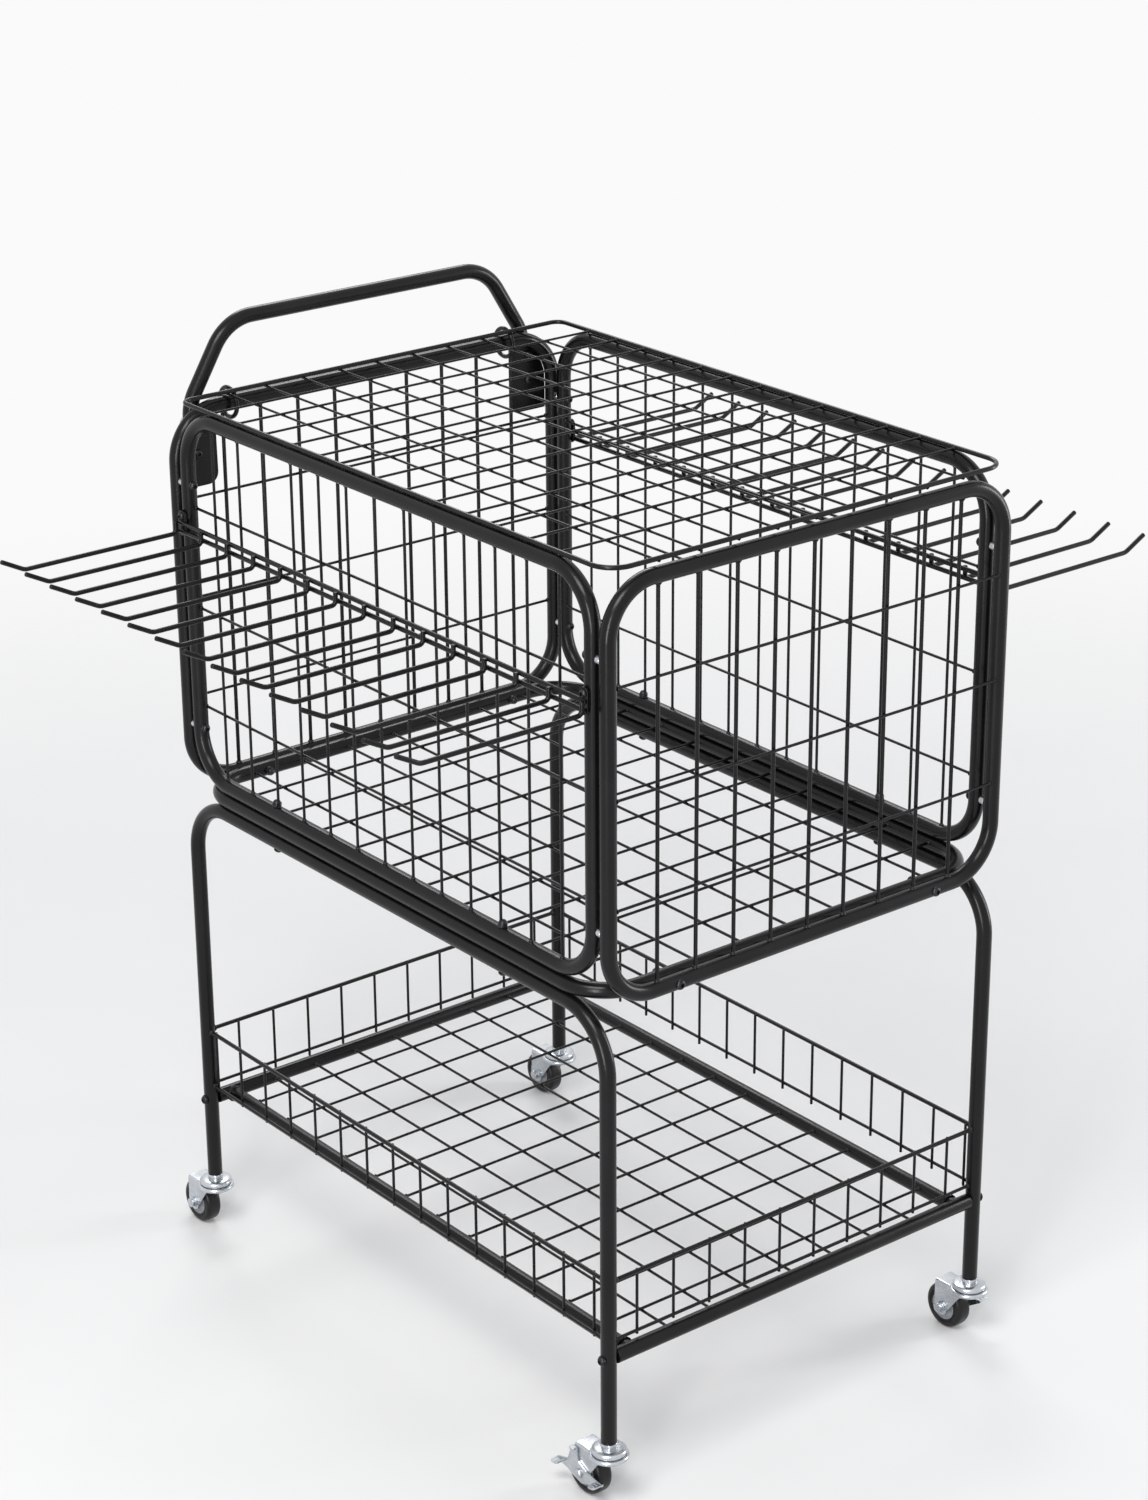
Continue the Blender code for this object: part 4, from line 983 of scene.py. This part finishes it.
def caster_fork(tag, x, y):
    """Pressed channel with tapered cheeks under a rolled crown."""
    heights = []
    for k in range(17):
        t = math.pi / 2 * k / 16
        heights.append(WHEEL_Z - FORK_EDGE + FORK_EDGE * (1 - math.cos(t)))
    for k in range(1, 25):
        heights.append(WHEEL_Z + (FORK_TOP - FORK_BEND - WHEEL_Z) * k / 24)

    def ring(side, front, back, near, far):
        """One section of the sheet; near and far are its faces as (width, height)."""
        return [at(x + side * near[0], y + front, near[1]), at(x + side * far[0], y + front, far[1]),
                at(x + side * far[0], y + back, far[1]), at(x + side * near[0], y + back, near[1])]

    bm = bmesh.new()
    for side in (-1, 1):
        rings = []
        for z in heights:
            front, back = cheek_reach(z)
            front, back = front + 0.00002, max(back, front + 0.0004)
            rings.append(ring(side, front, back, (FORK_IN, z), (FORK_OUT, z)))
        front, back = -FORK_EDGE, TRAIL + FORK_EDGE
        for k in range(1, 9):
            t = math.pi / 2 * k / 8
            faces = []
            for radius in (FORK_BEND - FORK_T, FORK_BEND):
                faces.append((FORK_OUT - FORK_BEND + radius * math.cos(t),
                              FORK_TOP - FORK_BEND + radius * math.sin(t)))
            rings.append(ring(side, front, back, *faces))
        rings.append(ring(side, front, back, (0, FORK_TOP - FORK_T), (0, FORK_TOP)))
        skin(bm, rings)
    made = piece("cheeks_" + tag, bm, ZINC, "fork_" + tag, "caster_fork_" + tag, soften=0.0005, slot="zinc")
    made.modifiers["soften"].segments = 2
    r = CROWN_R
    profile = [(0.0535, 0.0), (0.0535, r - 0.0022), (0.0538, r - 0.0009), (0.0546, r - 0.0002), (0.0554, r),
               (0.0564, r), (0.0574, r - 0.0004), (0.0580, r - 0.0012), (0.0583, r - 0.0022),
               (0.0583, r - 0.0034), (0.0578, r - 0.0042), (0.0576, r - 0.0055), (0.0576, 0.0)]
    crown = bmesh.new()
    turned(crown, profile, at(x, y, 0), (0, 0, 1), 56)
    piece("crown_" + tag, crown, ZINC, "fork_" + tag, slot="zinc")


# Halves of the wheel's profiles, as (depth in from the wheel's side, radius)
TREAD = ((0.0012, 0.0155), (0.0003, 0.0158), (0.0003, 0.0172), (0.0009, 0.0176), (0.0009, 0.0182),
         (0.0001, 0.0187), (0.0, 0.0200), (0.0002, 0.0216), (0.0008, 0.0230), (0.0018, 0.0241),
         (0.0032, 0.0247), (0.0050, 0.02493), (0.0070, WHEEL_Z))
CORE = ((-0.0008, 0.0033), (-0.0008, 0.0056), (-0.0003, 0.0064), (0.0012, 0.0068), (0.0016, 0.0078),
        (0.0017, 0.0128), (0.0012, 0.0138), (0.0003, 0.0142), (0.0001, 0.0150), (0.0006, 0.0154),
        (0.0016, 0.0154))


def wheel(tag, x, y):
    """Tyre, and hub with six low ribs on each side."""
    centre = at(x, y + TRAIL, WHEEL_Z)

    def round_solid(half_profile, sides):
        right = [(WHEEL_HALF - depth, r) for depth, r in half_profile]
        bm = bmesh.new()
        turned(bm, [(-a, r) for a, r in right] + right[::-1], centre, (1, 0, 0), sides, True)
        return bm

    tread = round_solid(TREAD, 72)
    piece("tread_" + tag, tread, TYRE, "wheel_" + tag, "tyre_" + tag, slot="tyre", angle=50)
    bm = round_solid(CORE, 56)
    for side in (-1, 1):
        face = centre + Vector((side * (WHEEL_HALF - 0.0019), 0, 0))
        for k in range(6):
            a = 2 * math.pi * k / 6 + 0.26
            along = Vector((0, math.cos(a), math.sin(a)))
            across = Vector((0, -math.sin(a), math.cos(a)))
            rings = []
            for reach, wide, high in ((0.0066, 0.0011, 0.0014), (0.0100, 0.0009, 0.0012),
                                      (0.0139, 0.0009, 0.0010)):
                spot = face + along * reach
                lift = Vector((side * high, 0, 0))
                rings.append([spot - across * wide, spot + across * wide,
                              spot + across * wide * 0.6 + lift, spot - across * wide * 0.6 + lift])
            skin(bm, rings, False, False)
    piece("core_" + tag, bm, HUB, "wheel_" + tag, "hub_" + tag, slot="hub", angle=50)


def axle(tag, x, y, brake_side):
    """Pin with a domed head, which sits on the lever where there is one, and a nut."""
    head = brake_side if brake_side else 1
    seat = BRAKED_SEAT if brake_side else AXLE_SEAT
    dome = [(-0.0002, AXLE_R), (-0.0002, 0.0048), (0.0003, 0.0050), (0.0012, 0.0049), (0.0022, 0.0042),
            (0.0029, 0.0029), (0.0032, 0.0013), (0.0032, 0.0)]
    centre = at(x, y + TRAIL, WHEEL_Z)
    start = centre + Vector((head * seat, 0, 0))
    bm = bmesh.new()
    turned(bm, dome, start, (head, 0, 0), 32)
    rod(bm, start, centre - Vector((head * 0.0150, 0, 0)), AXLE_R, 24, 0.0005)
    washer(bm, centre - Vector((head * 0.01235, 0, 0)), (-head, 0, 0), 0.0060, AXLE_R, 0.0009)
    hexagon(bm, centre - Vector((head * 0.0132, 0, 0)), (-head, 0, 0), 0.0100, 0.0040, (0, 0, 1), 0.0007)
    piece("pin_" + tag, bm, ZINC, "fork_" + tag, "axle_" + tag, slot="zinc")


def rounded_shape(corners):
    """A closed outline from corners given as (across, up, radius)."""
    spots = [Vector((a, b, 0)) for a, b, radius in corners]
    shape = []
    for k, spot in enumerate(spots):
        arc = arc_at(spots[k - 1], spot, spots[(k + 1) % len(spots)], corners[k][2], 5)
        shape.extend((place.x, place.y) for place, along in arc)
    return shape


# The lever's outline from the axle, as (depth, height, corner radius)
LEVER = ((-0.0340, 0.0135, 0.0008), (-0.0340, 0.0105, 0.0008), (-0.0140, -0.0030, 0.006),
         (-0.0068, -0.0085, 0.0045), (0.0068, -0.0085, 0.0045), (0.0160, -0.0070, 0.006),
         (0.0335, -0.0085, 0.0008), (0.0340, -0.0055, 0.0008), (0.0190, 0.0040, 0.005),
         (0.0180, 0.0230, 0.0016), (0.0100, 0.0260, 0.0016), (0.0050, 0.0120, 0.003),
         (-0.0100, 0.0090, 0.008))
# Front pedal, rear pedal and top tab: first and last point on the plate, how far out, ribs
PEDALS = (((-0.0335, 0.0122), (-0.0245, 0.0085), 0.013, 2),
          ((0.0245, -0.0040), (0.0340, -0.0070), 0.011, 2),
          ((0.0105, 0.0245), (0.0175, 0.0225), 0.006, 0))


def brake_lever(tag, x, y, side, turn):
    """Stamped rocker plate with a ribbed pedal bent out at each end."""
    centre = at(x, y + TRAIL, WHEEL_Z)
    tilt = Matrix.Rotation(turn, 4, "X")

    def spot(out, a, b):
        return centre + tilt @ Vector((side * out, a, b))

    shape = rounded_shape(LEVER)
    bm = bmesh.new()
    skin(bm, [[spot(out, a, b) for a, b in shape] for out in (LEVER_IN, LEVER_IN + LEVER_T)], False, False)
    for first, last, out, ribs in PEDALS:
        first = Vector((0, *first))
        last = Vector((0, *last))
        along = (last - first).normalized()
        up = Vector((1, 0, 0)).cross(along)
        wide = (last - first).length
        near = LEVER_IN + LEVER_T * 0.3
        reach = LEVER_IN + out
        corner = min(0.003, wide * 0.3)
        flat = rounded_shape(((near, 0.0, 0.0003), (reach, 0.0, corner), (reach, wide, corner),
                              (near, wide, 0.0003)))
        layers = []
        for lift in (-LEVER_T / 2, LEVER_T / 2):
            ring = []
            for o, s in flat:
                p = first + along * s + up * lift
                ring.append(spot(o, p.y, p.z))
            layers.append(ring)
        skin(bm, layers, False, False)
        for k in range(ribs):
            o = LEVER_IN + LEVER_T + (out - LEVER_T) * (k + 0.9) / (ribs + 0.7)
            for sign in (-1, 1):
                low = first + along * wide * 0.2 + up * sign * LEVER_T * 0.42
                high = first + along * wide * 0.8 + up * sign * LEVER_T * 0.42
                rod(bm, spot(o, low.y, low.z), spot(o, high.y, high.z), 0.0008, 10, 0.0004)
    piece("pedal_" + tag, bm, ZINC, "lever_" + tag, "brake_lever_" + tag, soften=0.0004, slot="zinc")


def casters():
    """Four casters; the front two have a lever, and the left one rests pressed down."""
    for row, y, levers in (("front", -LEG_Y, True), ("rear", LEG_Y, False)):
        for side, word in SIDES:
            tag = row + "_" + word
            x = side * HALF_X
            caster_stem(tag, x, y)
            caster_fork(tag, x, y)
            wheel(tag, x, y)
            axle(tag, x, y, side if levers else 0)
            if levers:
                brake_lever(tag, x, y, side, LEVER_SWING if word == "left" else 0.0)


for side, word in SIDES:
    leg_frame(side, word)
    side_panel(word, side)
    hook_rack(word, side)
    handle_plate(word, side)
tray_floor()
tray_walls()
basket_base()
end_panel("front", -1)
end_panel("rear", 1)
corner_spacers()
base_bolts()
tray_bolts()
handle()
handle_plug_pair()
handle_bolts()
lid()
casters()


# Floor, backdrop, lights and camera

def floor_paper():
    """Pale paper that fades into the pale surroundings away from the cart."""
    made, tree, shader = nodes_of("studio_paper")
    cloud = noise(tree, 3.0, 2.0)
    tree.links.new(ramp(tree, cloud, [(0.3, (0.785, 0.785, 0.785)), (0.7, (0.80, 0.80, 0.80))]),
                   shader.inputs["Base Color"])
    fill(shader, {"Roughness": 0.9, "Specular IOR Level": 0.1})
    spot = tree.nodes.new("ShaderNodeTexCoord").outputs["Object"]
    length = tree.nodes.new("ShaderNodeVectorMath")
    length.operation = "LENGTH"
    tree.links.new(spot, length.inputs[0])
    fade = tree.nodes.new("ShaderNodeMapRange")
    fade.interpolation_type = "SMOOTHSTEP"
    fill(fade, {"From Min": 1.1, "From Max": 2.9})
    tree.links.new(length.outputs["Value"], fade.inputs["Value"])
    clear = tree.nodes.new("ShaderNodeBsdfTransparent")
    mix = tree.nodes.new("ShaderNodeMixShader")
    tree.links.new(fade.outputs["Result"], mix.inputs["Fac"])
    tree.links.new(shader.outputs["BSDF"], mix.inputs[1])
    tree.links.new(clear.outputs["BSDF"], mix.inputs[2])
    tree.links.new(mix.outputs["Shader"], tree.nodes["Material Output"].inputs["Surface"])
    return made


def floor():
    bm = bmesh.new()
    bmesh.ops.create_circle(bm, cap_ends=True, segments=96, radius=3.0)
    mesh = bpy.data.meshes.new("studio_floor")
    bm.to_mesh(mesh)
    bm.free()
    mesh.materials.append(floor_paper())
    add("studio_floor", mesh)


def area_light(name, spot, target, size, power, tint=(1.0, 1.0, 1.0)):
    lamp = bpy.data.lights.new(name, "AREA")
    lamp.shape = "RECTANGLE"
    lamp.size, lamp.size_y = size
    lamp.energy = power
    lamp.color = tint
    made = add(name, lamp)
    made.location = spot
    made.rotation_euler = (Vector(target) - Vector(spot)).to_track_quat("-Z", "Y").to_euler()


PHOTO_H = 1500
PHOTO_FOCAL = 3456.7
PHOTO_AXIS = 793.28
SENSOR = 36.0


def camera():
    """The photograph's viewpoint, fitted to the cart's edges, with its focal length and axis in pixels."""
    right = Vector((0.78022, -0.62547, -0.00657))
    up = Vector((0.24621, 0.29743, 0.92245))
    away = Vector((-0.57501, -0.72133, 0.38606))
    spot = Vector((-0.00604, MID, 0.5770)) + away * 3.5489
    lens = bpy.data.cameras.new("photo_camera")
    lens.sensor_fit = "AUTO"
    lens.sensor_width = SENSOR
    lens.lens = PHOTO_FOCAL / PHOTO_H * SENSOR
    lens.shift_y = (PHOTO_AXIS - PHOTO_H / 2) / PHOTO_H
    lens.clip_end = 60.0
    made = add("photo_camera", lens)
    made.matrix_world = Matrix(((right.x, up.x, away.x, spot.x), (right.y, up.y, away.y, spot.y),
                                (right.z, up.z, away.z, spot.z), (0, 0, 0, 1)))
    bpy.context.scene.camera = made


def world():
    """Soft light from all around; the camera and reflections see a pale studio."""
    made = bpy.data.worlds.new("studio")
    bpy.context.scene.world = made
    made.use_nodes = True
    tree = made.node_tree
    light = tree.nodes["Background"]
    fill(light, {"Color": (0.95, 0.97, 1.0, 1.0), "Strength": 0.50})
    seen = tree.nodes.new("ShaderNodeBackground")
    seen.inputs["Color"].default_value = (0.955, 0.955, 0.955, 1.0)
    path = tree.nodes.new("ShaderNodeLightPath")
    total = path.outputs["Is Camera Ray"]
    for name in ("Is Glossy Ray", "Is Transmission Ray"):
        add = tree.nodes.new("ShaderNodeMath")
        add.operation = "MAXIMUM"
        tree.links.new(total, add.inputs[0])
        tree.links.new(path.outputs[name], add.inputs[1])
        total = add.outputs["Value"]
    mix = tree.nodes.new("ShaderNodeMixShader")
    tree.links.new(total, mix.inputs["Fac"])
    tree.links.new(light.outputs["Background"], mix.inputs[1])
    tree.links.new(seen.outputs["Background"], mix.inputs[2])
    tree.links.new(mix.outputs["Shader"], tree.nodes["World Output"].inputs["Surface"])


floor()
area_light("key_softbox", (-1.9, -1.2, 3.2), (0, 0, 0.5), (1.6, 1.2), 66, (1.0, 0.99, 0.97))
area_light("strip_softbox", (-2.7, -1.9, 1.0), (0, 0, 0.5), (0.5, 1.9), 50)
area_light("fill_softbox", (2.7, -1.4, 1.0), (0, 0, 0.5), (0.4, 1.9), 34, (0.97, 0.98, 1.0))
area_light("rim_softbox", (1.4, 2.6, 3.0), (0, 0, 0.6), (1.8, 1.0), 42)
camera()
world()
bpy.context.scene.view_settings.view_transform = "Standard"
